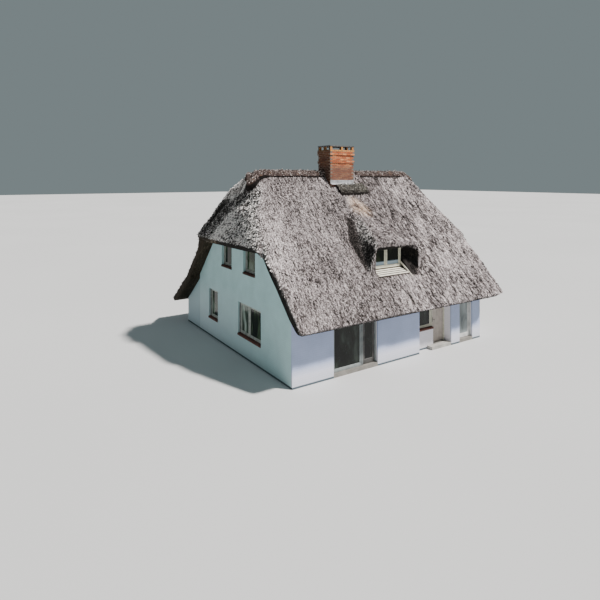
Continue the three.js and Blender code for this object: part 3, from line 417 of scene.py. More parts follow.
def shape_coat(mesh):
    """Rounds the coat and gives it the swells, the hanging verge, the sunk ridge end and the newer layer."""
    places, normals = vertex_values(mesh)
    ends = edge_ends(mesh)
    count = np.bincount(ends.ravel(), minlength=len(places))
    off_cut = 0.5 * (1 - near_a_cut(normals, ends, count))
    x, y = places[:, 0], places[:, 1]
    at_dormer = between(DORMER_ZONE["left"], DORMER_ZONE["right"], x) * (1 - eased(*DORMER_ZONE["behind"], y))
    off_ridge = np.maximum(eased(*RIDGE_STRIP, np.abs(y - RIDGE_Y)), eased(*HIP_ENDS, np.abs(x)))
    relax(places, off_cut * off_ridge * (1 - DORMER_ZONE["kept"] * at_dormer), EASING_STEPS, ends, count)
    away = np.linalg.norm(places - np.array(CORNER_SWELL["at"]), axis=1)
    swell = eased(0, 1, 1 - away / CORNER_SWELL["reach"])
    places += swell[:, None] * np.array(CORNER_SWELL["push"])
    relax(places, off_cut * eased(0, 0.6, near_arris(places, LEFT_ARRIS)), LEFT_ARRIS["steps"], ends, count)
    places += eased(0, 1, near_arris(places, RIGHT_ARRIS))[:, None] * np.array(RIGHT_ARRIS["push"])
    drop_verge(places)
    sink_ridge_end(places)
    layer = between(LAYER["left"], LAYER["right"], x) * eased(*LAYER["foot"], y)
    layer *= (y < RIDGE_Y) * (normals[:, 2] > LAYER["tilt"])
    places += (layer * LAYER["thick"])[:, None] * normals
    mesh.vertices.foreach_set("co", places.astype(np.float32).ravel())
    mesh.update()


shape_coat(coat)
coat = thinned_underside(coat, UNDERSIDE_SHARE)
print("coat after thinning:", len(coat.polygons), "faces")

# %% [markdown]
# ### Painted shade and painted light on the reed
# The rear part of the left half-hip, the left flank of the front dormer and the cheek inside its mouth get
# painted shade. The crest and the front part of the half-hip get painted light. Slower tones make the left
# half of the front slope, the dormer's hood and the rear a little darker, and the left end of the front slope
# paler.
# Each place is an area with soft edges, and they add up to one value: 0 for ordinary reed, 1 and more where it
# is darkest, below 0 where it is paler.

# %% Where the reed carries painted shade and painted light
HIP_FROM_X = -4.6
# Left half-hip: painted shade on its rear part, painted light on its front part, and a painted highlight along
# its crest.
HIP_BAND = {"y": -1.05, "z": 7.45, "run": 0.84, "edge": (-0.12, 0.22), "damp": 0.5, "bleached": 0.70}
HIP_CREST = {
    "y": -0.52, "z": 7.38, "run": 1.5, "edge": (-0.10, 0.05), "above": 6.85, "until": (-4.5, 1.5),
    "bleached": 1.2}
# The left flank of the front dormer, with its outline at five places up the slope: painted shade there,
# heaviest where the lamp reaches it, and painted light on its shoulder
FLANK = {
    "y": (-4.85, -4.00, -3.60, -3.30, -2.90), "left": (-1.44, -1.46, -1.48, -1.30, -1.02),
    "right": (-0.98, -0.90, -0.82, -0.76, -0.66), "left_edge": (-0.08, 0.05), "right_edge": (-0.05, 0.08),
    "foot": (-4.88, -4.62), "top": (2.60, 2.95), "lit": 1.5, "unlit": ((-4.3, -3.4), (0.80, 0.42))}
SHOULDER = {"right": -0.3, "foot": -5.0, "top": -2.6, "turned": (-0.2, 0.2), "bleached": 0.2}
TO_LAMP = (0.41, -0.465, 0.787)
LAMP_REACHES = (0.30, 0.75)
# Painted shade on the cheek inside the front dormer's mouth and on the reed below it.
CHEEK = {
    "left": 0.95, "right": 1.84, "edge": (-0.05, 0.08), "slant": 0.9, "head": -4.43, "foot": (-5.03, -4.95),
    "top": -3.8, "under": 4.35, "damp": 2.0}
FRONT_ROOF_Y = -0.5
# Slower tones: darker on the left half of the front slope, the dormer's hood and the rear, paler at the left
# end of the front slope.
LEFT_HALF = {"y": (-5.5, -0.8), "damp": (0.28, 0.10), "right": (-1.2, 0.2)}
HOOD = {"left": (-0.3, 0.4), "right": (2.0, 3.0), "foot": (-4.7, -4.4), "damp": 0.50}
LEFT_END = {"right": (-5.4, -4.1), "foot": (-5.3, -4.6), "top": (-2.9, -1.9), "fading": 0.8, "bleached": 1.1}
REAR = {"front": (-0.5, 0.3), "left": (-4.7, -4.3), "damp": 0.30}


def past_line(line, y, z):
    """0 in front of a line that runs up a half-hip, 1 behind it."""
    return eased(*line["edge"], y - line["y"] - line["run"] * (line["z"] - z))


def hip_painted_light_and_shade(x, y, z, on_hip):
    """Painted shade on the rear part of the left half-hip, painted light on its front part, and a painted
    highlight on its crest.
    """
    rear = past_line(HIP_BAND, y, z)
    crest = past_line(HIP_CREST, y, z) * (z > HIP_CREST["above"])
    band = np.where(on_hip, HIP_BAND["damp"] * rear - HIP_BAND["bleached"] * (1 - rear), 0)
    bleached = HIP_CREST["bleached"] * crest * (x < HIP_CREST["until"][0]) * (y < HIP_CREST["until"][1])
    return band * (1 - crest) - bleached


def flank_painted_light_and_shade(x, y, normals, sideways):
    """Painted shade on the left flank of the front dormer, darkest where the lamp reaches it, and painted
    light on its shoulder.
    """
    left = np.interp(y, FLANK["y"], FLANK["left"])
    right = np.interp(y, FLANK["y"], FLANK["right"])
    flank = eased(*FLANK["left_edge"], x - left) * eased(*FLANK["right_edge"], right - x)
    flank *= eased(*FLANK["top"], -y) * eased(*FLANK["foot"], y)
    shoulder = (x > left) * (x < SHOULDER["right"]) * (y > SHOULDER["foot"]) * (y < SHOULDER["top"])
    shoulder = shoulder * eased(*SHOULDER["turned"], sideways)
    lit = eased(*LAMP_REACHES, normals @ np.array(TO_LAMP))
    flank *= lit * FLANK["lit"] + (1 - lit) * np.interp(y, *FLANK["unlit"])
    return flank - SHOULDER["bleached"] * shoulder * (1 - flank)


def slope_tone_shifts(x, y, off_hip):
    """Slow changes over the slopes: darker on the left half, the dormer's hood and the rear, paler at the left
    end.
    """
    front = off_hip * (y < FRONT_ROOF_Y)
    damp = np.interp(y, LEFT_HALF["y"], LEFT_HALF["damp"]) * (1 - eased(*LEFT_HALF["right"], x)) * front
    damp += HOOD["damp"] * between(HOOD["left"], HOOD["right"], x) * eased(*HOOD["foot"], y) * front
    left_end = (1 - eased(*LEFT_END["right"], x)) * eased(*LEFT_END["foot"], y)
    left_end *= 1 - LEFT_END["fading"] * eased(*LEFT_END["top"], y)
    damp -= LEFT_END["bleached"] * left_end * front
    return damp + REAR["damp"] * off_hip * eased(*REAR["front"], y) * eased(*REAR["left"], x)


def reed_painted_shade_and_tone(places, normals):
    """Painted shade (above 0) and painted light (below 0) at each vertex of the coat, with the slower tones of
    the slopes.
    """
    x, y, z = places.T
    sideways = np.abs(normals[:, 0]) - np.abs(normals[:, 1])
    on_hip = (x < HIP_FROM_X) & (sideways > 0)
    damp = hip_painted_light_and_shade(x, y, z, on_hip) + slope_tone_shifts(x, y, 1 - on_hip)
    past_cheek = x - CHEEK["right"] + CHEEK["slant"] * (CHEEK["head"] - y)
    cheek = (x > CHEEK["left"]) * (1 - eased(*CHEEK["edge"], past_cheek))
    cheek *= eased(*CHEEK["foot"], y) * (y < CHEEK["top"]) * (z < CHEEK["under"])
    return damp + np.where(cheek > 0, CHEEK["damp"] * cheek, flank_painted_light_and_shade(x, y, normals, sideways))


# %% [markdown]
# ### What the coat knows about itself
# The reed material and the reed tips ask six things of each spot. How far does it face the side? Is it a
# shaded cut edge, painted dark? Is it the patch of fresh straw below the chimney? How much painted shade and
# painted light, with the slower tones of the slopes, does it carry? Which field of the roof is it on, if tips
# grow there at all? How far may a tip reach out there? The answers are stored on the mesh as named values,
# which material and geometry trees can read, along with one low tone for the coat between the tips, painted
# shade in the gaps between the clumps.

# %% Mark the coat
APRON_LOW, APRON_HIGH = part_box("front_dormer_apron")
FRESH_SPOT = (-0.03, -2.58)
FRESH_RADII = (0.46, 0.64)
# The coat between the tips has a low tone: painted shade in the gaps between the clumps.
GAP_PAINTED_SHADE_TONE = 0.15
EAVES_Y = (-3.9, 4.9)
SIDE_TURN = (-0.15, 0.55)
FRESH_EDGE = (0.5, 1.3)
SHORT_TIPS = {"up": (0.10, 0.35), "share": 0.5}
UNDER_TILT = (-0.45, -0.15)
STEEP_TILT = (0.05, 0.30)
EAVE_CUT = {"turn": (0.80, 0.92), "lip": -5.8, "at_lip": 0.4}
FLANK_BOX = {"x": (-1.6, -0.4), "y": (-4.9, -2.7), "share": 0.7}
CREST_BOX = {"x": -4.4, "y": -0.9, "z": (6.55, 6.75), "up": -0.2}
HIP_X = 4.0
APRON_ROOM = {"left": 0.12, "right": 0.20, "front": 0.05, "back": 0.1, "above": 0.35}
VERGE = {"x": 5.6, "across": 0.4, "up": 0.55, "z": 4.85}
CUT_FACE = {"upright": 0.75, "up": -0.35}
FRONT_LEFT, FRONT_RIGHT, BACK, LEFT_HIP, RIGHT_HIP = 1, 2, 3, 4, 5


def store(mesh, name, values, kind="FLOAT"):
    """Keeps one number per vertex under a name."""
    plain = np.asarray(values, np.int32 if kind == "INT" else np.float32)
    mesh.attributes.new(name, kind, "POINT").data.foreach_set("value", plain)


def shade_of(x, y, z, normals, at_eaves):
    """Painted shade over the reed's own brown: 1 on the underside and on steep cuts, but less at the eaves,
    the sunk crest and the dormer's flank.
    """
    sideways, upright, up = np.abs(normals[:, 0]), np.abs(normals[:, 1]), normals[:, 2]
    under = 1 - eased(*UNDER_TILT, up)
    steep = 1 - eased(*STEEP_TILT, up)
    eave_face = eased(*EAVE_CUT["turn"], upright + EAVE_CUT["at_lip"] * (y < EAVE_CUT["lip"])) * at_eaves
    flank = (x > FLANK_BOX["x"][0]) & (x < FLANK_BOX["x"][1]) & (up > 0.0)
    flank &= (y > FLANK_BOX["y"][0]) & (y < FLANK_BOX["y"][1])
    crest = (x < CREST_BOX["x"]) * eased(*CREST_BOX["z"], z) * (y > CREST_BOX["y"]) * (up > CREST_BOX["up"])
    return np.maximum(under, steep * (1 - eave_face)) * (1 - crest) * (1 - FLANK_BOX["share"] * flank)


def field_of(x, y, z, normals, at_eaves):
    """The number of the field that reed tips grow on. It is 0 at cuts, at verges and round the apron."""
    across, upright, up = np.abs(normals[:, 0]), np.abs(normals[:, 1]), normals[:, 2]
    field = np.where(y > RIDGE_Y, BACK, np.where(x < 0, FRONT_LEFT, FRONT_RIGHT))
    field[(across > upright) & (x < -HIP_X)] = LEFT_HIP
    field[(across > upright) & (x > HIP_X)] = RIGHT_HIP
    near_apron = (x > APRON_LOW.x - APRON_ROOM["left"]) & (x < APRON_HIGH.x + APRON_ROOM["right"])
    near_apron &= (y > APRON_LOW.y - APRON_ROOM["front"]) & (y < APRON_HIGH.y + APRON_ROOM["back"])
    near_apron &= z < APRON_HIGH.z + APRON_ROOM["above"]
    verge = (np.abs(x) > VERGE["x"]) & (across > VERGE["across"]) & (up < VERGE["up"]) & (z < VERGE["z"])
    cut_face = (upright > CUT_FACE["upright"]) & (up > CUT_FACE["up"]) & at_eaves
    hanging = (up < CUT_TILT) & ~cut_face
    field[hanging | near_apron | verge] = 0
    return field


def mark_reed(mesh):
    """Stores what the reed material and the reed tips ask for."""
    places, normals = vertex_values(mesh)
    x, y, z = places.T
    at_eaves = (y < EAVES_Y[0]) | (y > EAVES_Y[1])
    off_spot = np.hypot((x - FRESH_SPOT[0]) / FRESH_RADII[0], (y - FRESH_SPOT[1]) / FRESH_RADII[1])
    store(mesh, "side", eased(*SIDE_TURN, np.abs(normals[:, 0]) - np.abs(normals[:, 1])))
    store(mesh, "shade", shade_of(x, y, z, normals, at_eaves))
    store(mesh, "fresh", 1 - eased(*FRESH_EDGE, off_spot))
    # Painted shade and painted light on the reed, with the slower tones of the slopes.
    store(mesh, "damp", reed_painted_shade_and_tone(places, normals))
    store(mesh, "field", field_of(x, y, z, normals, at_eaves), "INT")
    store(mesh, "tone", np.full(len(places), GAP_PAINTED_SHADE_TONE))
    store(mesh, "reach", 1 - SHORT_TIPS["share"] * (1 - eased(*SHORT_TIPS["up"], normals[:, 2])))


mark_reed(coat)
print("coat marked: fields", sorted(set(v.value for v in coat.attributes["field"].data)))

# %% [markdown]
# ### Sway and clumps
# A hand-laid coat is never flat: it sways by a couple of centimetres over a metre or two, and the dressed
# ends leave a rough skin of clumps. Both follow a rule, so a geometry tree moves every point along its normal
# by noise, with the heights and lengths of the waves as named inputs.

# %% Geometry tree for the relief of reed
def geometry_tree(name, sizes):
    """A tree with a mesh in, a mesh out and named inputs. Returns the tree, its inputs and its way out."""
    tree = bpy.data.node_groups.new(name, "GeometryNodeTree")
    tree.interface.new_socket("Geometry", in_out="INPUT", socket_type="NodeSocketGeometry")
    for label, kind in sizes.items():
        tree.interface.new_socket(label, in_out="INPUT", socket_type=f"NodeSocket{kind}")
    tree.interface.new_socket("Geometry", in_out="OUTPUT", socket_type="NodeSocketGeometry")
    inlet = add(tree, "NodeGroupInput")
    outlet = add(tree, "NodeGroupOutput")
    return tree, inlet.outputs, outlet.inputs["Geometry"]


def end_instances(tree, given, laid, out):
    """Gives each instance a tone of its own, turns all of them into real mesh, and sets their material."""
    tone = add(tree, "FunctionNodeRandomValue", {"Seed": given["Seed"]}, data_type="FLOAT").outputs[1]
    toned = add(tree, "GeometryNodeStoreNamedAttribute", {"Geometry": laid, "Name": "tone", "Value": tone},
                data_type="FLOAT", domain="INSTANCE").outputs[0]
    real = add(tree, "GeometryNodeRealizeInstances", {"Geometry": toned}).outputs[0]
    final = add(tree, "GeometryNodeSetMaterial", {"Geometry": real, "Material": given["Finish"]})
    tree.links.new(final.outputs[0], out)


def grown(holder, tree, values):
    """Runs a geometry tree with these values on an object and returns the plain mesh."""
    modifier = holder.modifiers.new(tree.name, "NODES")
    modifier.node_group = tree
    for item in tree.interface.items_tree:
        if item.in_out == "INPUT" and item.name in values:
            modifier[item.identifier] = values[item.name]
    return applied(holder)


def relief_tree():
    """Moves each point along its normal by a long wave and a short one."""
    tree, given, out = geometry_tree("hand_laid_relief", {
        "Sway": "Float", "Sway Length": "Float", "Clump": "Float", "Clump Length": "Float", "Seed": "Float"})
    place = add(tree, "GeometryNodeInputPosition").outputs[0]
    outward = add(tree, "GeometryNodeInputNormal").outputs[0]
    height = None
    for size, length in (("Sway", "Sway Length"), ("Clump", "Clump Length")):
        scale = add(tree, "ShaderNodeMath", {0: 1.0, 1: given[length]}, operation="DIVIDE").outputs[0]
        noise = add(tree, "ShaderNodeTexNoise",
                    {"Vector": place, "W": given["Seed"], "Scale": scale, "Detail": 1.0},
                    noise_dimensions="4D").outputs[0]
        centred = add(tree, "ShaderNodeMath", {0: noise, 1: 0.5}, operation="SUBTRACT").outputs[0]
        swing = add(tree, "ShaderNodeMath", {0: given[size], 1: 2.0}, operation="MULTIPLY").outputs[0]
        wave = add(tree, "ShaderNodeMath", {0: centred, 1: swing}, operation="MULTIPLY").outputs[0]
        if height is not None:
            wave = add(tree, "ShaderNodeMath", {0: wave, 1: height}, operation="ADD").outputs[0]
        height = wave
    move = add(tree, "ShaderNodeVectorMath", {0: outward, "Scale": height}, operation="SCALE").outputs[0]
    moved = add(tree, "GeometryNodeSetPosition", {"Geometry": given["Geometry"], "Offset": move})
    tree.links.new(moved.outputs[0], out)
    return tree


RELIEF = relief_tree()
coat = grown(link("coat", coat), RELIEF, {
    "Sway": 0.035, "Sway Length": 1.4, "Clump": 0.020, "Clump Length": 0.16, "Seed": 3.0})
print("relief on", len(coat.vertices), "points")

# %% [markdown]
# ### Reed tips
# The visible skin is made of clumps of cut stems, each some 4 cm across, that lie a little flatter than the
# slope so that their butts stand out and throw small shadows. They are strewn over each field of the roof,
# turned to point down the slope there, and varied in size, turn and tone. Each is a four-sided wedge of six
# triangles: its point is buried in the coat and its blunt end shows. Every field has tips of its own size,
# finest on the front slopes.

# %% Geometry tree for reed tips
def tips_tree():
    """Strews four-sided clumps over one field, turned to point down its slope, with a tone for each."""
    tree, given, out = geometry_tree("strewn_tips", {
        "Field": "Int", "Spacing": "Float", "Length": "Float", "Width": "Float", "Lift": "Float",
        "Stray": "Float", "Seed": "Int", "Finish": "Material"})
    field = add(tree, "GeometryNodeInputNamedAttribute", {"Name": "field"}, data_type="INT").outputs[0]
    here = add(tree, "FunctionNodeCompare", {2: field, 3: given["Field"]}, data_type="INT", operation="EQUAL")
    area = add(tree, "ShaderNodeMath", {0: given["Spacing"], 1: 2.0}, operation="POWER").outputs[0]
    density = add(tree, "ShaderNodeMath", {0: 3.0, 1: area}, operation="DIVIDE").outputs[0]
    spots = add(tree, "GeometryNodeDistributePointsOnFaces", {
        "Mesh": given["Geometry"], "Selection": here.outputs[0], "Distance Min": given["Spacing"],
        "Density Max": density, "Seed": given["Seed"]}, distribute_method="POISSON")
    normal = spots.outputs["Normal"]
    sunk = add(tree, "ShaderNodeVectorMath", {0: (0, 0, -1), 1: normal}, operation="PROJECT").outputs[0]
    along = add(tree, "ShaderNodeVectorMath", {0: (0, 0, -1), 1: sunk}, operation="SUBTRACT").outputs[0]
    down = add(tree, "ShaderNodeVectorMath", {0: along}, operation="NORMALIZE").outputs[0]
    lifted = add(tree, "ShaderNodeVectorMath", {0: normal, "Scale": given["Lift"]},
                 operation="SCALE").outputs[0]
    stray, spin, size = [
        add(tree, "FunctionNodeRandomValue", {0: least, 1: most, "Seed": given["Seed"]},
            data_type="FLOAT_VECTOR").outputs[0]
        for least, most in (((-1, -1, -1), (1, 1, 1)), ((0, 0, 0), (0, 0, math.tau)),
                            ((0.7, 0.7, 0.75), (1.35, 1.35, 1.5)))]
    strayed = add(tree, "ShaderNodeVectorMath", {0: stray, "Scale": given["Stray"]},
                  operation="SCALE").outputs[0]
    aim = add(tree, "ShaderNodeVectorMath", {0: down, 1: lifted}, operation="ADD").outputs[0]
    aim = add(tree, "ShaderNodeVectorMath", {0: aim, 1: strayed}, operation="ADD").outputs[0]
    turn = add(tree, "FunctionNodeAlignRotationToVector", {"Rotation": spin, "Vector": aim},
               axis="Z").outputs[0]
    half = add(tree, "ShaderNodeMath", {0: given["Width"], 1: 0.5}, operation="MULTIPLY").outputs[0]
    clump = add(tree, "GeometryNodeMeshCone", {
        "Vertices": 4, "Radius Top": half, "Radius Bottom": 0.0, "Depth": given["Length"]})
    back = add(tree, "ShaderNodeMath", {0: given["Length"], 1: -0.5}, operation="MULTIPLY").outputs[0]
    shift = add(tree, "ShaderNodeCombineXYZ", {"Z": back}).outputs[0]
    seated = add(tree, "GeometryNodeTransform",
                 {"Geometry": clump.outputs[0], "Translation": shift}).outputs[0]
    reach = add(tree, "GeometryNodeInputNamedAttribute", {"Name": "reach"}, data_type="FLOAT").outputs[0]
    size = add(tree, "ShaderNodeVectorMath", {0: size, "Scale": reach}, operation="SCALE").outputs[0]
    laid = add(tree, "GeometryNodeInstanceOnPoints", {
        "Points": spots.outputs["Points"], "Instance": seated, "Rotation": turn, "Scale": size}).outputs[0]
    end_instances(tree, given, laid, out)
    return tree


TIPS = tips_tree()
TIP_SIZES = ("Field", "Spacing", "Length", "Width", "Lift")
FIELDS = {
    "reed_tips_front_left": (FRONT_LEFT, 0.031, 0.11, 0.034, 0.26),
    "reed_tips_front_right": (FRONT_RIGHT, 0.031, 0.20, 0.029, 0.17),
    "reed_tips_left_hip": (LEFT_HIP, 0.040, 0.16, 0.046, 0.62),
    "reed_tips_right_hip": (RIGHT_HIP, 0.045, 0.14, 0.050, 0.26),
    "reed_tips_back": (BACK, 0.046, 0.15, 0.046, 0.17),
}
for name, row in FIELDS.items():
    sizes = dict(zip(TIP_SIZES, row))
    strewn = grown(link(name + "_field", coat.copy()), TIPS, {
        **sizes, "Stray": 0.14, "Seed": sizes["Field"], "Finish": REED})
    strewn.name = name
    dressed(name, strewn, REED, "house")

# %% [markdown]
# ### Two halves
# The coat is cut along the ridge into a front and a back half, so that neither piece grows too large. The cut
# lies under the heather ridge, and each half is closed again along it.

# %% Cut the coat along the ridge
def half_coat(name, side):
    """The part of the coat on one side of the ridge: 1 is the front, -1 the back."""
    form = bmesh.new()
    form.from_mesh(coat)
    cut = bmesh.ops.bisect_plane(form, geom=form.verts[:] + form.edges[:] + form.faces[:], dist=1e-6,
                                 plane_co=(0, RIDGE_Y, 0), plane_no=(0, side, 0), clear_outer=True)
    rim = [e for e in cut["geom_cut"] if isinstance(e, bmesh.types.BMEdge)]
    bmesh.ops.holes_fill(form, edges=rim, sides=0)
    return as_mesh(form, name)


dressed("reed_coat_front", half_coat("reed_coat_front", 1), REED, "house", [
    "thatch_front_left", "thatch_front_right", "thatch_below_front_dormer", "front_dormer_hood",
    "thatch_left_hip", "thatch_right_hip"])
dressed("reed_coat_back", half_coat("reed_coat_back", -1), REED, "house", [
    "thatch_back", "thatch_below_rear_dormer", "thatch_rear_eave", "rear_dormer_hood"])
bpy.data.meshes.remove(coat)

# %% [markdown]
# ## The heather ridge
# A reed roof is closed along its ridge with a roll of heather turf, the one part that is not reed. It
# weathers to a brown mauve, stays shaggier than the reed, and carries a little orange moss. The caps of the
# frame are remeshed and swayed in the same way as the coat, and short heather sprigs are strewn over them in
# all directions. The left cap sinks with the reed below it, and the right one droops at its end. The pad of
# reed in front of the chimney is made in the same way, in a grey green finish.

# %% Weathered heather
# Nearly black: painted shade on the sides and undersides of the heather and reed rolls.
ROLL_PAINTED_SHADE = "#14100e"


def heather(name, stops, moss):
    """Dead heather twigs: dark between the sprigs and pale at their tips, with painted shade where the roll
    looks sideways or down. A wave of twigs is 24 mm long, and a patch of moss 0.3 m."""
    material, tree, shader, place = start_material(name, Roughness=0.95)
    shader.inputs["Specular IOR Level"].default_value = 0.2
    tone, shade = [
        add(tree, "ShaderNodeAttribute", attribute_name=asked).outputs["Fac"] for asked in ("tone", "shade")]
    twigs = add(tree, "ShaderNodeTexNoise", {
        "Vector": place, "Scale": 42.0, "Detail": 4.0, "Roughness": 0.7}).outputs["Fac"]
    tufts = add(tree, "ShaderNodeTexNoise", {
        "Vector": place, "Scale": 3.0, "Detail": 3.0, "Roughness": 0.6}).outputs["Fac"]
    level = add(tree, "ShaderNodeMath", {0: tone, 1: 0.45, 2: twigs}, operation="MULTIPLY_ADD").outputs[0]
    colour = add(tree, "ShaderNodeValToRGB", {"Fac": level}, stops=stops).outputs[0]
    patch = add(tree, "ShaderNodeMapRange", {0: tufts, 1: 0.58, 2: 0.70, 4: 0.45}).outputs[0]
    for share, other in ((patch, moss), (shade, ROLL_PAINTED_SHADE)):
        colour = add(tree, "ShaderNodeMix", {0: share, 6: colour, 7: linear(other)},
                     data_type="RGBA").outputs[2]
    finish_surface(tree, shader, colour, twigs, 0.02, 0.8)
    return material


HEATHER = heather("weathered_heather", [
    (0.35, "#15100f"), (0.60, "#5c4e4a"), (0.85, "#aa9e9a"), (1.1, "#ece4e1")], "#86664f")
MOSSY_REED = heather("mossy_packed_reed", [
    (0.35, "#1d1b19"), (0.62, "#5f5c57"), (0.88, "#94908a"), (1.1, "#c4c0ba")], "#63624f")
print("materials:", HEATHER.name, MOSSY_REED.name)

# %% Dress the ridge caps and the saddle
CAP_END = {"span": (4.45, 5.15), "drop": 0.26}
SOFT_ROLLS = {
    "ridge_cap_left": (HEATHER, "ridge_reed"),
    "ridge_cap_right": (HEATHER, "ridge_reed"),
    "chimney_saddle": (MOSSY_REED, "mossy_reed"),
}
for node, (finish, slot) in SOFT_ROLLS.items():
    roll = remeshed(node + "_roll", [node], 0.035, 2)
    places, normals = vertex_values(roll)
    if node == "ridge_cap_left":
        sink_ridge_end(places)
    if node == "ridge_cap_right":
        places[:, 2] -= CAP_END["drop"] * eased(*CAP_END["span"], places[:, 0])
    roll.vertices.foreach_set("co", places.ravel())
    roll = grown(link(node + "_roll", roll), RELIEF, {
        "Sway": 0.02, "Sway Length": 0.5, "Clump": 0.022, "Clump Length": 0.10, "Seed": 8.0})
    tilt = vertex_values(roll)[1][:, 2]
    store(roll, "field", tilt > 0.45, "INT")
    # Painted shade on the roll's sides and underside, for the dark line under its edge.
    store(roll, "shade", 1 - eased(0.15, 0.50, tilt))
    store(roll, "reach", np.ones(len(tilt)))
    sprigs = grown(link(node + "_sprigs", roll.copy()), TIPS, {
        "Field": 1, "Spacing": 0.05, "Length": 0.12, "Width": 0.036, "Lift": 0.45, "Stray": 0.75, "Seed": 21,
        "Finish": finish})
    dressed(node + "_turf", roll, finish, "house", [node])
    dressed(node + "_sprigs", sprigs, finish, "house")

# %% [markdown]
# ## Laid bricks and boards
# Bricks and boards are one block that is laid again and again. A geometry tree puts the block on each point
# of a layout, turned and sized as that point says, a little unevenly, and gives it a tone of its own. The
# layout itself is plain arithmetic: courses, bonds and joints.

# %% Geometry tree that lays blocks
def block(name, size, chamfer):
    """A block with chamfered arrises round its own middle."""
    form = bmesh.new()
    bmesh.ops.create_cube(form, size=1.0)
    bmesh.ops.scale(form, vec=size, verts=form.verts)
    bmesh.ops.bevel(form, geom=form.edges[:], offset=chamfer, segments=1, affect="EDGES")
    return link(name, as_mesh(form, name))


def laying_tree():
    """Puts a block on each point, turned and sized as the point says, a little out of place."""
    tree, given, out = geometry_tree("laid_blocks", {
        "Block": "Object", "Uneven": "Float", "Seed": "Int", "Finish": "Material"})
    turn = add(tree, "GeometryNodeInputNamedAttribute", {"Name": "turn"}, data_type="FLOAT_VECTOR").outputs[0]
    grow = add(tree, "GeometryNodeInputNamedAttribute", {"Name": "grow"}, data_type="FLOAT_VECTOR").outputs[0]
    shaken = add(tree, "FunctionNodeRandomValue", {0: (-1, -1, -1), 1: (1, 1, 1), "Seed": given["Seed"]},
                 data_type="FLOAT_VECTOR").outputs[0]
    shift = add(tree, "ShaderNodeVectorMath", {0: shaken, "Scale": given["Uneven"]},
                operation="SCALE").outputs[0]
    moved = add(tree, "GeometryNodeSetPosition", {"Geometry": given["Geometry"], "Offset": shift}).outputs[0]
    shape = add(tree, "GeometryNodeObjectInfo", {"Object": given["Block"]}).outputs["Geometry"]
    laid = add(tree, "GeometryNodeInstanceOnPoints", {
        "Points": moved, "Instance": shape, "Rotation": turn, "Scale": grow}).outputs[0]
    end_instances(tree, given, laid, out)
    return tree


LAYING = laying_tree()


def lay(name, chamfer, rows, finish, uneven, seed):
    """A piece of blocks laid at (place, turn about x y z, size) rows. The first row's block is the pattern."""
    size = rows[0][2]
    pattern = block(name + "_block", size, chamfer)
    points = bpy.data.meshes.new(name)
    points.from_pydata([place for place, turn, grow in rows], [], [])
    turns = [c for place, turn, grow in rows for c in turn]
    grows = [g / s for place, turn, grow in rows for g, s in zip(grow, size)]
    for kind, values in (("turn", turns), ("grow", grows)):
        points.attributes.new(kind, "FLOAT_VECTOR", "POINT").data.foreach_set("vector", values)
    mesh = grown(link(name, points), LAYING, {
        "Block": pattern, "Uneven": uneven, "Seed": seed, "Finish": finish})
    discard(pattern)
    mesh.name = name
    print(f"{name}: {len(rows)} blocks")
    dressed(name, mesh, finish, "house")


# %% [markdown]
# ## The chimney
# The stack is a running bond of red brick, 6 stretchers wide and 4 deep. Two bands stand proud of it, and
# eight little piers carry a thin slab over the smoke vents. The frame's own stack stays as the mortar between
# the bricks. The sun side is orange, the lower shaft is paler and browner, and yellow lichen grows on the top
# band. The side of the stack that looks along -x is painted dark brown, as painted shade.

# %% Fired brick and lime mortar
# Heights in metres where the lower shaft turns paler, where lichen grows, and where the painted shade on faces
# that look along -x begins.
BRICK_BANDS = {"pale below": (8.60, 8.30), "lichen above": (8.93, 9.16), "weathered above": (2.0, 3.0)}


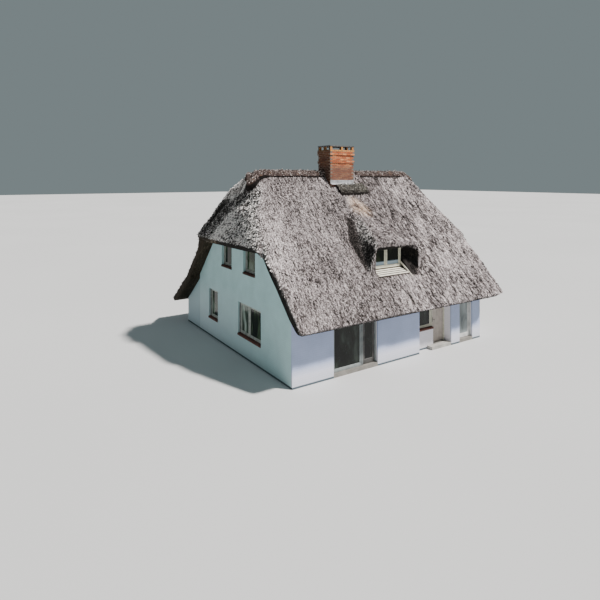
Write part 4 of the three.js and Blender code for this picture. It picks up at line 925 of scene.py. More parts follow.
def fired_brick(name, stops):
    """Sand-faced clay brick, each in its own tone, with burnt specks of 18 mm and lichen spots of 0.14 m.
    Faces that look along -x are painted dark from 3 m up, as painted shade.
    """
    material, tree, shader, place = start_material(name, Roughness=0.88)
    shader.inputs["Specular IOR Level"].default_value = 0.3
    tone = add(tree, "ShaderNodeAttribute", attribute_name="tone").outputs["Fac"]
    grit = add(tree, "ShaderNodeTexNoise", {
        "Vector": place, "Scale": 55.0, "Detail": 4.0, "Roughness": 0.7}).outputs["Fac"]
    bloom = add(tree, "ShaderNodeTexNoise", {
        "Vector": place, "Scale": 7.0, "Detail": 4.0, "Roughness": 0.65}).outputs["Fac"]
    level = add(tree, "ShaderNodeMath", {0: tone, 1: 0.42, 2: grit}, operation="MULTIPLY_ADD").outputs[0]
    level = add(tree, "ShaderNodeMath", {0: level, 1: 0.10}, operation="ADD").outputs[0]
    fired = add(tree, "ShaderNodeValToRGB", {"Fac": level}, stops=stops).outputs[0]
    height = add(tree, "ShaderNodeSeparateXYZ", {"Vector": place}).outputs["Z"]
    facing = add(tree, "ShaderNodeNewGeometry").outputs["True Normal"]
    facing_x = add(tree, "ShaderNodeSeparateXYZ", {"Vector": facing}).outputs["X"]
    pale, lifted, high_up = [
        add(tree, "ShaderNodeMapRange", {0: height, 1: start, 2: end, 4: most}).outputs[0]
        for (start, end), most in zip(BRICK_BANDS.values(), (0.75, 1.0, 0.86))]
    level = add(tree, "ShaderNodeMath", {0: bloom, 1: 0.42, 2: lifted}, operation="MULTIPLY_ADD").outputs[0]
    lichen = add(tree, "ShaderNodeMapRange", {0: level, 1: 1.08, 2: 1.26, 4: 0.85}).outputs[0]
    yellow = add(tree, "ShaderNodeMix", {0: grit, 6: linear("#b06a20"), 7: linear("#d3b56e")},
                 data_type="RGBA").outputs[2]
    # Painted shade: faces that look along -x go dark brown from 3 m up, on the stack and on the upper sills.
    painted_shade_side = add(tree, "ShaderNodeMapRange", {0: facing_x, 1: -0.5, 2: -0.8, 4: high_up}).outputs[0]
    colour = fired
    for share, other in ((pale, linear("#594139")), (lichen, yellow), (painted_shade_side, linear("#2a1a14"))):
        colour = add(tree, "ShaderNodeMix", {0: share, 6: colour, 7: other}, data_type="RGBA").outputs[2]
    finish_surface(tree, shader, colour, grit, 0.004, 0.7)
    return material


def lime_mortar():
    """Weathered lime mortar: grey beige, darkened by soot. Its sand is drawn coarse, at 11 mm, to show."""
    material, tree, shader, place = start_material("weathered_lime_mortar", Roughness=0.95)
    sand = add(tree, "ShaderNodeTexNoise", {"Vector": place, "Scale": 90.0, "Detail": 3.0}).outputs["Fac"]
    soot = add(tree, "ShaderNodeTexNoise", {"Vector": place, "Scale": 4.0, "Detail": 4.0}).outputs["Fac"]
    level = add(tree, "ShaderNodeMath", {0: sand, 1: soot}, operation="MULTIPLY").outputs[0]
    colour = add(tree, "ShaderNodeValToRGB", {"Fac": level},
                 stops=[(0.1, "#463a33"), (0.4, "#867669")]).outputs[0]
    finish_surface(tree, shader, colour, sand, 0.003, 0.6)
    return material


STACK_BRICK = fired_brick("sand_faced_orange_brick", [
    (0.30, "#512714"), (0.60, "#964827"), (0.85, "#b8663a"), (1.1, "#d08f60")])
SILL_BRICK = fired_brick("dark_red_sill_brick", [
    (0.30, "#3d2020"), (0.65, "#73393a"), (1.0, "#95574f")])
MORTAR = lime_mortar()

# %% Lay the stack
JOINT = 0.010
BRICK_DEPTH = 0.108
PROUD = 0.004
STRETCHERS = (6, 4)
SHAFT = (-0.875, 0.575, -1.435, -0.435)
# Bottom, top, number of courses, and how far they stand out
SHOULDERS = [
    (7.145, 8.560, 17, 0.0),
    (8.560, 8.700, 2, 0.030),
    (8.700, 8.960, 3, 0.0),
    (8.960, 9.220, 3, 0.035),
]
VENT = {"low": 9.220, "high": 9.380, "pier": 0.110, "proud": 0.008, "joint": 0.006}


def course_rows(bottom, top, out, odd):
    """One course round the stack. The long runs go through to the corners in every other course."""
    left, right, front, back = SHAFT[0] - out, SHAFT[1] + out, SHAFT[2] - out, SHAFT[3] + out
    rows = []
    height = top - bottom - JOINT
    z = (bottom + top) / 2
    inset = BRICK_DEPTH / 2 - PROUD
    own = BRICK_DEPTH + JOINT if odd else 0.0
    other = BRICK_DEPTH + JOINT - own
    for low, high, gap, count, turned in ((left, right, own, STRETCHERS[0], False),
                                          (front, back, other, STRETCHERS[1], True)):
        count = count - 1 if gap else count
        pitch = (high - low - 2 * gap) / count
        for i in range(count):
            along = low + gap + (i + 0.5) * pitch
            size = (pitch - JOINT, BRICK_DEPTH, height)
            for line in ((left + inset, right - inset) if turned else (front + inset, back - inset)):
                place = (line, along, z) if turned else (along, line, z)
                rows.append((place, (0, 0, math.pi / 2 if turned else 0), size))
    return rows


def pier_rows():
    """Two bricks for each of the eight piers round the smoke vent, on a 3 by 3 grid without its middle."""
    low, high, wide = VENT["low"], VENT["high"], VENT["pier"]
    size = (wide + VENT["proud"], wide + VENT["proud"], (high - low) / 2 - VENT["joint"])
    xs, ys = [(start + wide / 2, (start + end) / 2, end - wide / 2) for start, end in (SHAFT[:2], SHAFT[2:])]
    return [((xs[i], ys[k], low + share * (high - low)), (0, 0, 0), size)
            for i in range(3) for k in range(3) if (i, k) != (1, 1) for share in (0.25, 0.75)]


stack_rows = []
number = 0
for bottom, top, count, out in SHOULDERS:
    for i in range(count):
        rise = (top - bottom) / count
        stack_rows += course_rows(bottom + i * rise, bottom + (i + 1) * rise, out, number % 2 == 1)
        number += 1
stack_rows += pier_rows()
lay("stack_bricks", 0.006, stack_rows, STACK_BRICK, 0.0015, 4)

# %% [markdown]
# ### Lead and slab
# The mortar, the flashing and the slab keep the frame's own shapes and get their finishes. Old lead is a dull
# pale grey with white bloom. The slab is dark weathered stone.

# %% Finishes on the frame's own solids
GRAIN_PER_STAIN = 14


def mottled(name, dark, light, scale, rough, bump_height, metallic):
    """A mineral or metal surface with scale stains to a metre, and a grain 14 times finer."""
    material, tree, shader, place = start_material(name, Roughness=rough, Metallic=metallic)
    stain = add(tree, "ShaderNodeTexNoise", {
        "Vector": place, "Scale": scale, "Detail": 5.0, "Roughness": 0.62}).outputs["Fac"]
    grain = add(tree, "ShaderNodeTexNoise", {
        "Vector": place, "Scale": scale * GRAIN_PER_STAIN, "Detail": 3.0}).outputs["Fac"]
    level = add(tree, "ShaderNodeMath", {0: grain, 1: 0.35, 2: stain}, operation="MULTIPLY_ADD").outputs[0]
    colour = add(tree, "ShaderNodeValToRGB", {"Fac": level}, stops=[dark, light]).outputs[0]
    finish_surface(tree, shader, colour, grain, bump_height, 0.6)
    return material


def finish_node(material, *names):
    """Gives solids of the frame a finish. Their shapes stay as they are."""
    for name in names:
        for spot in nodes[name].material_slots:
            spot.material = material
    print(f"{material.name}: {', '.join(names)}")


SOLID_FINISHES = {
    "chimney_flashing": ("weathered_sheet_lead", (0.45, "#797a7e"), (0.75, "#b2b4b8"), 6.0, 0.55, 0.002, 0.2),
    "chimney_cover_slab": ("dark_weathered_stone", (0.45, "#2a2a2b"), (0.80, "#5f5f60"), 5.0, 0.85, 0.003, 0),
    "entrance_step": ("cast_concrete_step", (0.45, "#8d8c88"), (0.85, "#b6b4ae"), 4.0, 0.9, 0.002, 0),
    "ground_floor": ("sand_cement_screed", (0.45, "#6f6c67"), (0.85, "#8b8882"), 2.5, 0.85, 0.001, 0),
}
finish_node(MORTAR, "chimney_stack")
for node, values in SOLID_FINISHES.items():
    finish_node(mottled(*values), node)

# %% [markdown]
# ## Painted masonry
# The walls are brick under many coats of white mineral paint. Close up the courses show as shallow lines.
# From a distance the wall is almost even, and a little grubby near the ground. The white paint carries
# painted light and shade: a blue cast of painted sky light on the front wall, and a green painted shade on the
# left gable, lightened towards its foot and its rear end as painted bounce light. The front wall has painted
# sunlight near the ground, and so has every face set back from it, the recess among them. Behind a movement
# joint the paint is newer and duller. A brick pattern on x + y and z runs level round every upright face,
# reveals too.

# %% Mineral paint on brick
# A dark blue grey band along the foot of every wall, 75 mm high.
FOOT_BAND_HEIGHT = 0.075
MOVEMENT_JOINT_Y = 3.708
GABLE_X = -5.3
RECESS_Y = -5.15
# The front and gable ramps are the white paint with painted light in it: a blue cast of painted sky light on
# the front, a green painted shade on the left gable. The sunlit white and the pale bounce colour are painted
# light too; the splashed colour is dirt near the ground.
PAINT = {
    "front": [(0.30, "#a6b3d3"), (0.70, "#b5c1e2")], "gable": [(0.30, "#a5c7c9"), (0.70, "#b4d6d8")],
    "sheltered": "#eeecf4", "rinsed": "#e4f2f8", "splashed": "#8b9184", "foot": "#4c5860", "joint": "#9aa5a6",
    "behind joint": "#d6dde2"}
COURSES = {
    "Scale": 1.0, "Mortar Size": 0.007, "Mortar Smooth": 0.6, "Brick Width": 0.25, "Row Height": 0.0833}


def painted_masonry():
    """Matte mineral paint, with stains of 0.9 m and brush marks of 33 mm over the courses of the brick, and
    painted light and shade in its colours.
    """
    material, tree, shader, place = start_material("white_mineral_paint_on_brick", Roughness=0.86)
    x, y, z = add(tree, "ShaderNodeSeparateXYZ", {"Vector": place}).outputs
    along = add(tree, "ShaderNodeMath", {0: x, 1: y}, operation="ADD").outputs[0]
    flat = add(tree, "ShaderNodeCombineXYZ", {"X": along, "Y": z}).outputs[0]
    bond = add(tree, "ShaderNodeTexBrick", {
        **COURSES, "Vector": flat, "Color1": (1, 1, 1, 1), "Color2": (0.86, 0.86, 0.86, 1),
        "Mortar": (0, 0, 0, 1)}).outputs["Color"]
    grime = add(tree, "ShaderNodeTexNoise", {
        "Vector": place, "Scale": 1.1, "Detail": 5.0, "Roughness": 0.6}).outputs["Fac"]
    brushed = add(tree, "ShaderNodeTexNoise", {"Vector": place, "Scale": 30.0, "Detail": 3.0}).outputs["Fac"]
    front, gable = [add(tree, "ShaderNodeValToRGB", {"Fac": grime}, stops=PAINT[side]).outputs[0]
                    for side in ("front", "gable")]
    # Painted light and shade: the left gable takes the green painted shade, lightened towards its foot and its
    # rear end as painted bounce light; the front wall near the ground and every face set back from it take a
    # painted sunlit white.
    on_gable = add(tree, "ShaderNodeMath", {0: x, 1: GABLE_X}, operation="LESS_THAN").outputs[0]
    set_back = add(tree, "ShaderNodeMath", {0: y, 1: RECESS_Y}, operation="GREATER_THAN").outputs[0]
    painted_gable_shade = add(tree, "ShaderNodeMath", {0: on_gable, 1: set_back}, operation="MULTIPLY").outputs[0]
    near_ground = add(tree, "ShaderNodeMapRange", {0: z, 1: 0.75, 2: 0.40, 4: 0.65}).outputs[0]
    painted_sunlit_share = add(tree, "ShaderNodeMath", {0: near_ground, 1: set_back}, operation="MAXIMUM").outputs[0]
    rearward = add(tree, "ShaderNodeMapRange", {0: y, 1: -3.5, 2: 3.0, 3: 0.15, 4: 0.9}).outputs[0]
    painted_bounce_share = add(tree, "ShaderNodeMapRange", {0: z, 1: 2.9, 2: 0.3, 4: rearward}).outputs[0]
    splash = add(tree, "ShaderNodeMapRange", {0: z, 1: 0.45, 2: 0.05, 4: 0.45}).outputs[0]
    splash = add(tree, "ShaderNodeMath", {0: splash, 1: grime}, operation="MULTIPLY").outputs[0]
    foot = add(tree, "ShaderNodeMath", {0: z, 1: FOOT_BAND_HEIGHT}, operation="LESS_THAN").outputs[0]
    joint = add(tree, "ShaderNodeMath", {0: y, 1: MOVEMENT_JOINT_Y, 2: 0.007}, operation="COMPARE").outputs[0]
    beyond = add(tree, "ShaderNodeMath", {0: y, 1: MOVEMENT_JOINT_Y}, operation="GREATER_THAN").outputs[0]
    beyond = add(tree, "ShaderNodeMath", {0: beyond, 1: 0.5}, operation="MULTIPLY").outputs[0]
    rinsed = add(tree, "ShaderNodeMix", {0: painted_bounce_share, 6: gable, 7: linear(PAINT["rinsed"])},
                 data_type="RGBA").outputs[2]
    colour = front
    for share, other, blend in ((painted_sunlit_share, linear(PAINT["sheltered"]), "MIX"), (painted_gable_shade, rinsed, "MIX"),
                                (0.10, bond, "MULTIPLY"), (splash, linear(PAINT["splashed"]), "MIX"),
                                (foot, linear(PAINT["foot"]), "MIX"), (joint, linear(PAINT["joint"]), "MIX"),
                                (beyond, linear(PAINT["behind joint"]), "MULTIPLY")):
        colour = add(tree, "ShaderNodeMix", {0: share, 6: colour, 7: other}, data_type="RGBA",
                     blend_type=blend).outputs[2]
    relief = add(tree, "ShaderNodeMath", {0: brushed, 1: 0.25, 2: bond}, operation="MULTIPLY_ADD").outputs[0]
    finish_surface(tree, shader, colour, relief, 0.004, 0.5)
    return material


finish_node(painted_masonry(), "front_wall_left", "front_wall_middle", "front_wall_pier", "front_wall_right",
            "front_wall_head", "recess_wall", "left_gable_wall", "right_gable_wall", "back_wall")

# %% [markdown]
# ### Brick sills
# Under each ground and upper window of the gables, and on the low wall of the recess, a row of dark red
# bricks stands on edge, tilted to shed water, with its nose four centimetres out from the wall.

# %% Lay the sills
SILL_PITCH = 0.083
SILL_JOINT = 0.008
SILL_NOSE = 0.045
SILL_INSET = 0.004
SILL_HIGH = 0.085
SILL_TILT = math.radians(7)
SILL_RISE = 0.022
GABLE_FACES = {-1: -5.495, 1: 5.485}
RECESS_FRAME_FACE = -4.805


def sill_rows(along_from, along_to, wall, frame_face, top, outward):
    """Bricks on edge from the window frame to beyond the wall. outward is (x, y) away from the house."""
    count = round((along_to - along_from) / SILL_PITCH)
    pitch = (along_to - along_from) / count
    deep = abs(frame_face - wall) + SILL_NOSE
    across = wall + (SILL_NOSE - deep / 2 - SILL_INSET) * (outward[0] or outward[1])
    turn = (SILL_TILT, 0, math.atan2(outward[0], -outward[1]))
    rows = []
    for i in range(count):
        along = along_from + (i + 0.5) * pitch
        place = (across, along) if outward[0] else (along, across)
        rows.append(((*place, top - SILL_HIGH / 2 + SILL_RISE), turn, (pitch - SILL_JOINT, deep, SILL_HIGH)))
    return rows


GABLE_WINDOWS = [n for n in nodes if n.endswith("_window") and "gable" in n] + [
    n for n in nodes if "gable_upper_window" in n]
sills = []
for node in GABLE_WINDOWS:
    low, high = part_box(node)
    side = -1 if low.x < 0 else 1
    frame_face = low.x if side < 0 else high.x
    sills += sill_rows(low.y, high.y, GABLE_FACES[side], frame_face, low.z, (side, 0))
recess_low, recess_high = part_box("recess_wall")
sills += sill_rows(recess_low.x, recess_high.x, recess_low.y, RECESS_FRAME_FACE, recess_high.z, (0, -1))
lay("brick_sills", 0.005, sills, SILL_BRICK, 0.001, 9)

# %% [markdown]
# ## Windows
# A casement has an outer frame and in it a sash for each light, set back a little, with a drip rail at its
# foot and a sealed double pane. Each member is a straight bar with softened arrises, so one function makes
# all the bars of a window from its width, height and the places of its mullions. Another puts them where the
# solid of the frame stands. The large gable windows and both dormer windows have two sashes, the others one.
# A net hangs behind one sash of the large windows, and a dark slate strip stands at each side of every
# ground-floor window.

# %% Joinery paint, glass and metal
def painted_joinery(name, light, dark, grain_along=(1.0, 1.0, 0.15)):
    """Linseed or acrylic paint over softwood: a faint grain, 17 mm to a wave across the member and longer
    along it, and wear in patches of 0.2 m."""
    material, tree, shader, place = start_material(name, Roughness=0.5)
    stretch = add(tree, "ShaderNodeMapping", {"Vector": place, "Scale": grain_along}).outputs[0]
    grain = add(tree, "ShaderNodeTexNoise", {"Vector": stretch, "Scale": 60.0, "Detail": 3.0}).outputs["Fac"]
    wear = add(tree, "ShaderNodeTexNoise", {"Vector": place, "Scale": 5.0, "Detail": 4.0}).outputs["Fac"]
    level = add(tree, "ShaderNodeMath", {0: grain, 1: 0.4, 2: wear}, operation="MULTIPLY_ADD").outputs[0]
    colour = add(tree, "ShaderNodeValToRGB", {"Fac": level}, stops=[(0.45, dark), (0.80, light)]).outputs[0]
    finish_surface(tree, shader, colour, grain, 0.0008, 0.5)
    return material


def coated_glass(name, stops, painted_sky_strip=None, gleam=0.22):
    """Double glazing in front of a dim room: dark, faintly green, with soft pale shapes in it, some 0.4 m wide
    and 1.1 m tall: a curtain behind the pale panes, a painted reflection of the garden in the green ones.
    Where the strip's two heights are given, a pale blue strip of painted sky reflection shows low on the pane,
    and ends between them."""
    material, tree, shader, place = start_material(name, Roughness=0.04, IOR=1.52)
    shader.inputs["Specular IOR Level"].default_value = gleam
    room = add(tree, "ShaderNodeMapping", {"Vector": place, "Scale": (2.2, 2.2, 0.8)}).outputs[0]
    shapes = add(tree, "ShaderNodeTexNoise", {
        "Vector": room, "Scale": 1.1, "Detail": 2.0, "Distortion": 0.6}).outputs["Fac"]
    shown = add(tree, "ShaderNodeValToRGB", {"Fac": shapes}, stops=stops).outputs[0]
    if painted_sky_strip:
        height = add(tree, "ShaderNodeSeparateXYZ", {"Vector": place}).outputs["Z"]
        low = add(tree, "ShaderNodeMapRange", {0: height, 1: painted_sky_strip[1], 2: painted_sky_strip[0]}).outputs[0]
        shown = add(tree, "ShaderNodeMix", {0: low, 6: shown, 7: linear("#a9bccb")},
                    data_type="RGBA").outputs[2]
    tree.links.new(shown, shader.inputs["Base Color"])
    return material


CREAM = painted_joinery("cream_painted_softwood", "#dfdccb", "#bfbda9")
GREY_WHITE = painted_joinery("grey_white_painted_softwood", "#d3d4d2", "#a9aaa8")
# A darker copy of the white paint, as painted shade, for the gable's ground-floor windows; the shaded grey
# below is darker still, painted shade under the eave.
SHADED_WHITE = painted_joinery("weathered_white_softwood", "#b3b8b1", "#858b85")
EAVE_GREY = painted_joinery("shaded_grey_softwood", "#8c928c", "#646a65")
STONE_GREY = painted_joinery("stone_grey_painted_softwood", "#8b9291", "#70777a")
SAND_GREY = painted_joinery("sand_grey_painted_boards", "#bbb1a8", "#a69c93")
SLATE = painted_joinery("slate_grey_painted_softwood", "#6b6f70", "#4a4e50")
DARK_LEAF = painted_joinery("charcoal_stained_softwood", "#4b4a48", "#2d2c2b")
BOARDS = painted_joinery("cream_painted_boards", "#fbf7ea", "#e2dbc9", (0.1, 1.0, 1.0))
GLASS = coated_glass("coated_double_glazing", [(0.42, "#0b0e0c"), (0.60, "#1b211d"), (0.75, "#39423c")])
# The green shapes in this glass and in the shaded glass below are a painted reflection of the garden, and the
# shaded glass is darker as painted shade.
GABLE_GLASS = coated_glass("garden_facing_double_glazing", [
    (0.42, "#0d120c"), (0.52, "#232e1e"), (0.62, "#4a5a45"), (0.75, "#7f9088")])
EAVE_GLASS = coated_glass("shaded_double_glazing", [
    (0.40, "#0b100a"), (0.50, "#182314"), (0.60, "#35442e"), (0.75, "#5f6f62")], gleam=0.12)
NET_GLASS = coated_glass("net_curtained_double_glazing", [
    (0.40, "#39453b"), (0.50, "#6c7b70"), (0.60, "#96a49a"), (0.75, "#bcc9c2")])
PALE_GLASS = coated_glass("curtained_double_glazing", [
    (0.35, "#4c5557"), (0.60, "#8f9899"), (0.80, "#c5cacb")])
# The pale blue strip low in the dormer panes is a painted reflection of the sky.
DORMER_GLASS = coated_glass("sky_lit_double_glazing", [
    (0.42, "#080b07"), (0.55, "#12180f"), (0.75, "#2b331f")], painted_sky_strip=(4.08, 4.14), gleam=0.06)
BLACK_IRON = mottled("waxed_black_iron", (0.4, "#1b1b1c"), (0.9, "#38383a"), 20.0, 0.45, 0.0006, 0.8)
print("joinery finishes made")

# %% Bars and panes of a casement
FRAME_FACE = 0.070
FRAME_DEEP = 0.090
SASH_FACE = 0.058
SASH_BACK = 0.018
SASH_SHORT = 0.006
SASH_GAP = 0.002
PANE_SPAN = (0.040, 0.064)
PANE_REBATE = 0.008
BAR_ARRIS = 0.005
SIDE_STRIP = (0.048, 0.034)


def sash_bars(x0, x1, z0, z1):
    """The four members and drip rail of one sash, as (low, high) corners."""
    face, front, back = SASH_FACE, SASH_BACK, FRAME_DEEP - SASH_SHORT
    return [((x0, front, z0), (x0 + face, back, z1)), ((x1 - face, front, z0), (x1, back, z1)),
            ((x0 + face, front, z0), (x1 - face, back, z0 + face)),
            ((x0 + face, front, z1 - face), (x1 - face, back, z1)),
            ((x0 + 0.01, front - 0.016, z0 + 0.004), (x1 - 0.01, front + 0.004, z0 + 0.026))]


def casement(width, z0, z1, mullions):
    """Bars and panes of a window that fills 0 to width and z0 to z1, with y into the house."""
    face = FRAME_FACE
    bars = [((0, 0, z0), (face, FRAME_DEEP, z1)), ((width - face, 0, z0), (width, FRAME_DEEP, z1)),
            ((face, 0, z0), (width - face, FRAME_DEEP, z0 + face)),
            ((face, 0, z1 - face), (width - face, FRAME_DEEP, z1))]
    bars += [((at - face / 2, 0, z0 + face), (at + face / 2, FRAME_DEEP, z1 - face)) for at in mullions]
    panes = []
    edges = [face] + [at + side for at in mullions for side in (-face / 2, face / 2)] + [width - face]
    inset = SASH_FACE - PANE_REBATE
    for left, right in zip(edges[0::2], edges[1::2]):
        bars += sash_bars(left + SASH_GAP, right - SASH_GAP, z0 + face + SASH_GAP, z1 - face - SASH_GAP)
        panes.append(((left + inset, PANE_SPAN[0], z0 + face + inset),
                      (right - inset, PANE_SPAN[1], z1 - face - inset)))
    return bars, panes


def add_box(form, low, high):
    """A box between two corners. Returns its vertices."""
    made = bmesh.ops.create_cube(form, size=1.0)["verts"]
    low, high = Vector(low), Vector(high)
    bmesh.ops.scale(form, vec=high - low, verts=made)
    bmesh.ops.translate(form, vec=(low + high) / 2, verts=made)
    return made


def joinery(name, spans, arris, place, paint, body="house", stands_for=()):
    """A piece made of bars or panes given by their low and high corners, with softened arrises."""
    form = bmesh.new()
    for low, high in spans:
        add_box(form, low, high)
    if arris:
        bmesh.ops.bevel(form, geom=form.edges[:], offset=arris, segments=1, affect="EDGES")
    bmesh.ops.transform(form, matrix=place, verts=form.verts)
    bmesh.ops.recalc_face_normals(form, faces=form.faces)
    dressed(name, as_mesh(form, name), paint, body, stands_for)


def facing(low, high, outward):
    """Takes x along the wall, y into the house and z up to the place of a solid of the frame."""
    if outward == "-x":
        return Matrix(((0, 1, 0, low.x), (1, 0, 0, low.y), (0, 0, 1, 0), (0, 0, 0, 1)))
    if outward == "+x":
        return Matrix(((0, -1, 0, high.x), (1, 0, 0, low.y), (0, 0, 1, 0), (0, 0, 0, 1)))
    if outward == "+y":
        return Matrix(((1, 0, 0, low.x), (0, -1, 0, high.y), (0, 0, 1, 0), (0, 0, 0, 1)))
    return Matrix.Translation((low.x, low.y, 0))


WINDOWS = {
    "front_dormer_window": ("-y", [0.91], CREAM, DORMER_GLASS),
    "rear_dormer_window": ("+y", [1.0], CREAM, GABLE_GLASS),
}
for side, outward in (("left", "-x"), ("right", "+x")):
    WINDOWS[f"{side}_gable_large_window"] = (outward, [1.24], SHADED_WHITE, GABLE_GLASS)
    WINDOWS[f"{side}_gable_narrow_window"] = (outward, [], SHADED_WHITE, GABLE_GLASS)
    WINDOWS[f"{side}_gable_upper_window_front"] = (outward, [], EAVE_GREY, EAVE_GLASS)
    WINDOWS[f"{side}_gable_upper_window_rear"] = (outward, [], EAVE_GREY, EAVE_GLASS)
for node, (outward, mullions, paint, glass) in WINDOWS.items():
    low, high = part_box(node)
    width = (high - low).x if outward.endswith("y") else (high - low).y
    place = facing(low, high, outward)
    bars, panes = casement(width, low.z, high.z, mullions)
    joinery(node + "_bars", bars, BAR_ARRIS, place, paint, stands_for=[node])
    if "large" in node:
        joinery(node + "_netted_pane", panes[1:], 0.0, place, NET_GLASS)
        panes = panes[:1]
    joinery(node + "_panes", panes, 0.0, place, glass)
    if "large" in node or "narrow" in node:
        side_strips = [((x, -SIDE_STRIP[1], low.z), (x + SIDE_STRIP[0], 0.002, high.z)) for x in (0.0, width - SIDE_STRIP[0])]
        joinery(node + "_shutter_guides", side_strips, 0.004, place, SLATE)

# %% [markdown]
# ## Doorways
# The terrace opening has a tall fixed pane beside a narrow glazed leaf, the recess has a window on its low
# wall beside the boarded entrance, and the third doorway leads from a room to the garden. The frames stay
# with the house. The leaves ride on their own bodies, so they are drawn shut, and swing when their joint
# turns.

# %% Frames of the three doorways
TERRACE_POST = {"split": 1.52, "post": 0.08}
RECESS_SPLIT = 1.23


def doorway(node, name, paint, split=0.0, post=FRAME_FACE, pane="", foot=None):
    """Jambs and head of a doorway, open at its foot. Where a pane is named, a fixed light fills the opening up
    to the split, and the left jamb is the post between them. A light on a wall has a foot of its own."""
    low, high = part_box(node)
    place = facing(low, high, "-y")
    end, head = high.x - low.x, high.z - FRAME_FACE
    bars, panes = [], []
    if pane:
        bars, panes = casement(split + post / 2, low.z if foot is None else foot, high.z, [])
    bars += [((split, 0, low.z), (split + post, FRAME_DEEP, high.z)),
             ((end - FRAME_FACE, 0, low.z), (end, FRAME_DEEP, high.z)),
             ((split + post, 0, head), (end - FRAME_FACE, FRAME_DEEP, high.z))]
    joinery(name, bars, BAR_ARRIS, place, paint, stands_for=[node])
    if pane:
        joinery(pane, panes, 0.0, place, GLASS)


doorway("terrace_frame", "terrace_surround", STONE_GREY, **TERRACE_POST, pane="terrace_fixed_pane")
doorway("entrance_frame", "entrance_surround", CREAM, RECESS_SPLIT, pane="recess_pane", foot=recess_high.z)
doorway("garden_door_frame", "garden_surround", GREY_WHITE)

# %% [markdown]
# ### Leaves
# The entrance leaf is framed and covered with upright boards. The two glazed leaves have broad stiles and a
# high bottom rail. Each leaf has a lever handle on a plate at its left, and its halves of three hinges at its
# right: a knuckle on the hinge axis and a plate.

# %% Build the leaves
LEAF_THICK = 0.058
LEAF_SET_BACK = 0.049
LEAF_STILE = 0.095
LEAF_RAIL = 0.180
BEAD = 0.014
BOARD_PITCH = 0.108
BOARD_FACE = 0.020
HINGE_HEIGHTS = (0.24, 1.0, 1.78)
HINGE_RADIUS = 0.008
HINGE_TALL = 0.040
HINGE_REACH = 0.042
HINGE_DROP = 0.014
KNUCKLE_OUT = 0.010
KNUCKLE_GAP = 0.0006
AXIS_OUT = 0.003
LEVER_HEIGHT = 1.05
LEVER_PLATE = (0.017, 0.105)
# The path of a lever: how far along the door and how far out from its plate
LEVER_BEND = [(0, 0.004), (0, 0.024), (0.004, 0.033), (0.014, 0.038), (0.07, 0.038), (0.125, 0.036)]


def rod(form, points, radius, sides):
    """A round bar along a path, closed at both ends."""
    rings = []
    for i, point in enumerate(points):
        before = Vector(points[max(i - 1, 0)])
        after = Vector(points[min(i + 1, len(points) - 1)])
        turn = (after - before).normalized().to_track_quat("Z", "Y").to_matrix()
        rings.append([
            form.verts.new(Vector(point) + turn @ Vector((math.cos(a) * radius, math.sin(a) * radius, 0)))
            for a in (math.tau * k / sides for k in range(sides))])
    for a, b in zip(rings, rings[1:]):
        for k in range(sides):
            form.faces.new((a[k], a[(k + 1) % sides], b[(k + 1) % sides], b[k]))
    form.faces.new(rings[0])
    form.faces.new(rings[-1])


def plate(form, low, high, arris):
    """A box with rounded arrises."""
    made = add_box(form, low, high)
    edges = [e for e in form.edges if all(v in made for v in e.verts)]
    bmesh.ops.bevel(form, geom=edges, offset=arris, segments=2, affect="EDGES")


def finished(form, name):
    """The mesh of a metal fitting, smooth over its small four-sided faces."""
    bmesh.ops.recalc_face_normals(form, faces=form.faces)
    mesh = as_mesh(form, name)
    for face in mesh.polygons:
        face.use_smooth = len(face.vertices) == 4 and face.area < 0.0004
    return mesh


def hinge_set(name, axis_x, face_y, bottom, towards):
    """Three knuckles on the hinge axis. Their plates lie on one side of it: towards is -1 or 1."""
    form = bmesh.new()
    far = axis_x + towards * HINGE_REACH
    y = face_y + KNUCKLE_OUT
    for height in HINGE_HEIGHTS:
        z = bottom + height
        top = z + HINGE_TALL
        rod(form, [(axis_x, y, z), (axis_x, y, top)], HINGE_RADIUS, 16)
        plate(form, (min(axis_x, far), face_y - 0.001, z), (max(axis_x, far), face_y + 0.004, top), 0.001)
    return finished(form, name)


def lever_set(name, at_x, outer_y, inner_y, bottom):
    """A lever on a rounded plate outside, and a plate inside."""
    form = bmesh.new()
    z = bottom + LEVER_HEIGHT
    wide, tall = LEVER_PLATE
    outside, inside = (outer_y - 0.008, outer_y + 0.001, 0.004), (inner_y - 0.001, inner_y + 0.007, 0.003)
    for front, back, arris in (outside, inside):
        plate(form, (at_x - wide, front, z - tall), (at_x + wide, back, z + tall), arris)
    rod(form, [(at_x + along, outer_y - out, z) for along, out in LEVER_BEND], 0.009, 12)
    return finished(form, name)


def boarded(width, height):
    """Frame at the back and upright boards in front, with a narrow gap between them."""
    count = round(width / BOARD_PITCH)
    pitch = width / count
    boards = [((i * pitch + 0.002, 0, 0.0), ((i + 1) * pitch - 0.002, BOARD_FACE + 0.004, height))
              for i in range(count)]
    return [((0, BOARD_FACE, 0), (width, LEAF_THICK, height))] + boards, []


def glazed(width, height):
    """Stiles, rails and one tall pane with beads round it."""
    left, right, foot, head = LEAF_STILE, width - LEAF_STILE, LEAF_RAIL, height - LEAF_STILE
    deep = LEAF_THICK
    spans = [((0, 0, 0), (left, deep, height)), ((right, 0, 0), (width, deep, height)),
             ((left, 0, 0), (right, deep, foot)), ((left, 0, head), (right, deep, height))]
    for x0, x1, z0, z1 in ((left, left + BEAD, foot, head), (right - BEAD, right, foot, head),
                           (left + BEAD, right - BEAD, foot, foot + BEAD),
                           (left + BEAD, right - BEAD, head - BEAD, head)):
        spans.append(((x0, 0.008, z0), (x1, deep - 0.006, z1)))
    return spans, [((left + 0.004, 0.018, foot + 0.004), (right - 0.004, 0.040, head - 0.004))]


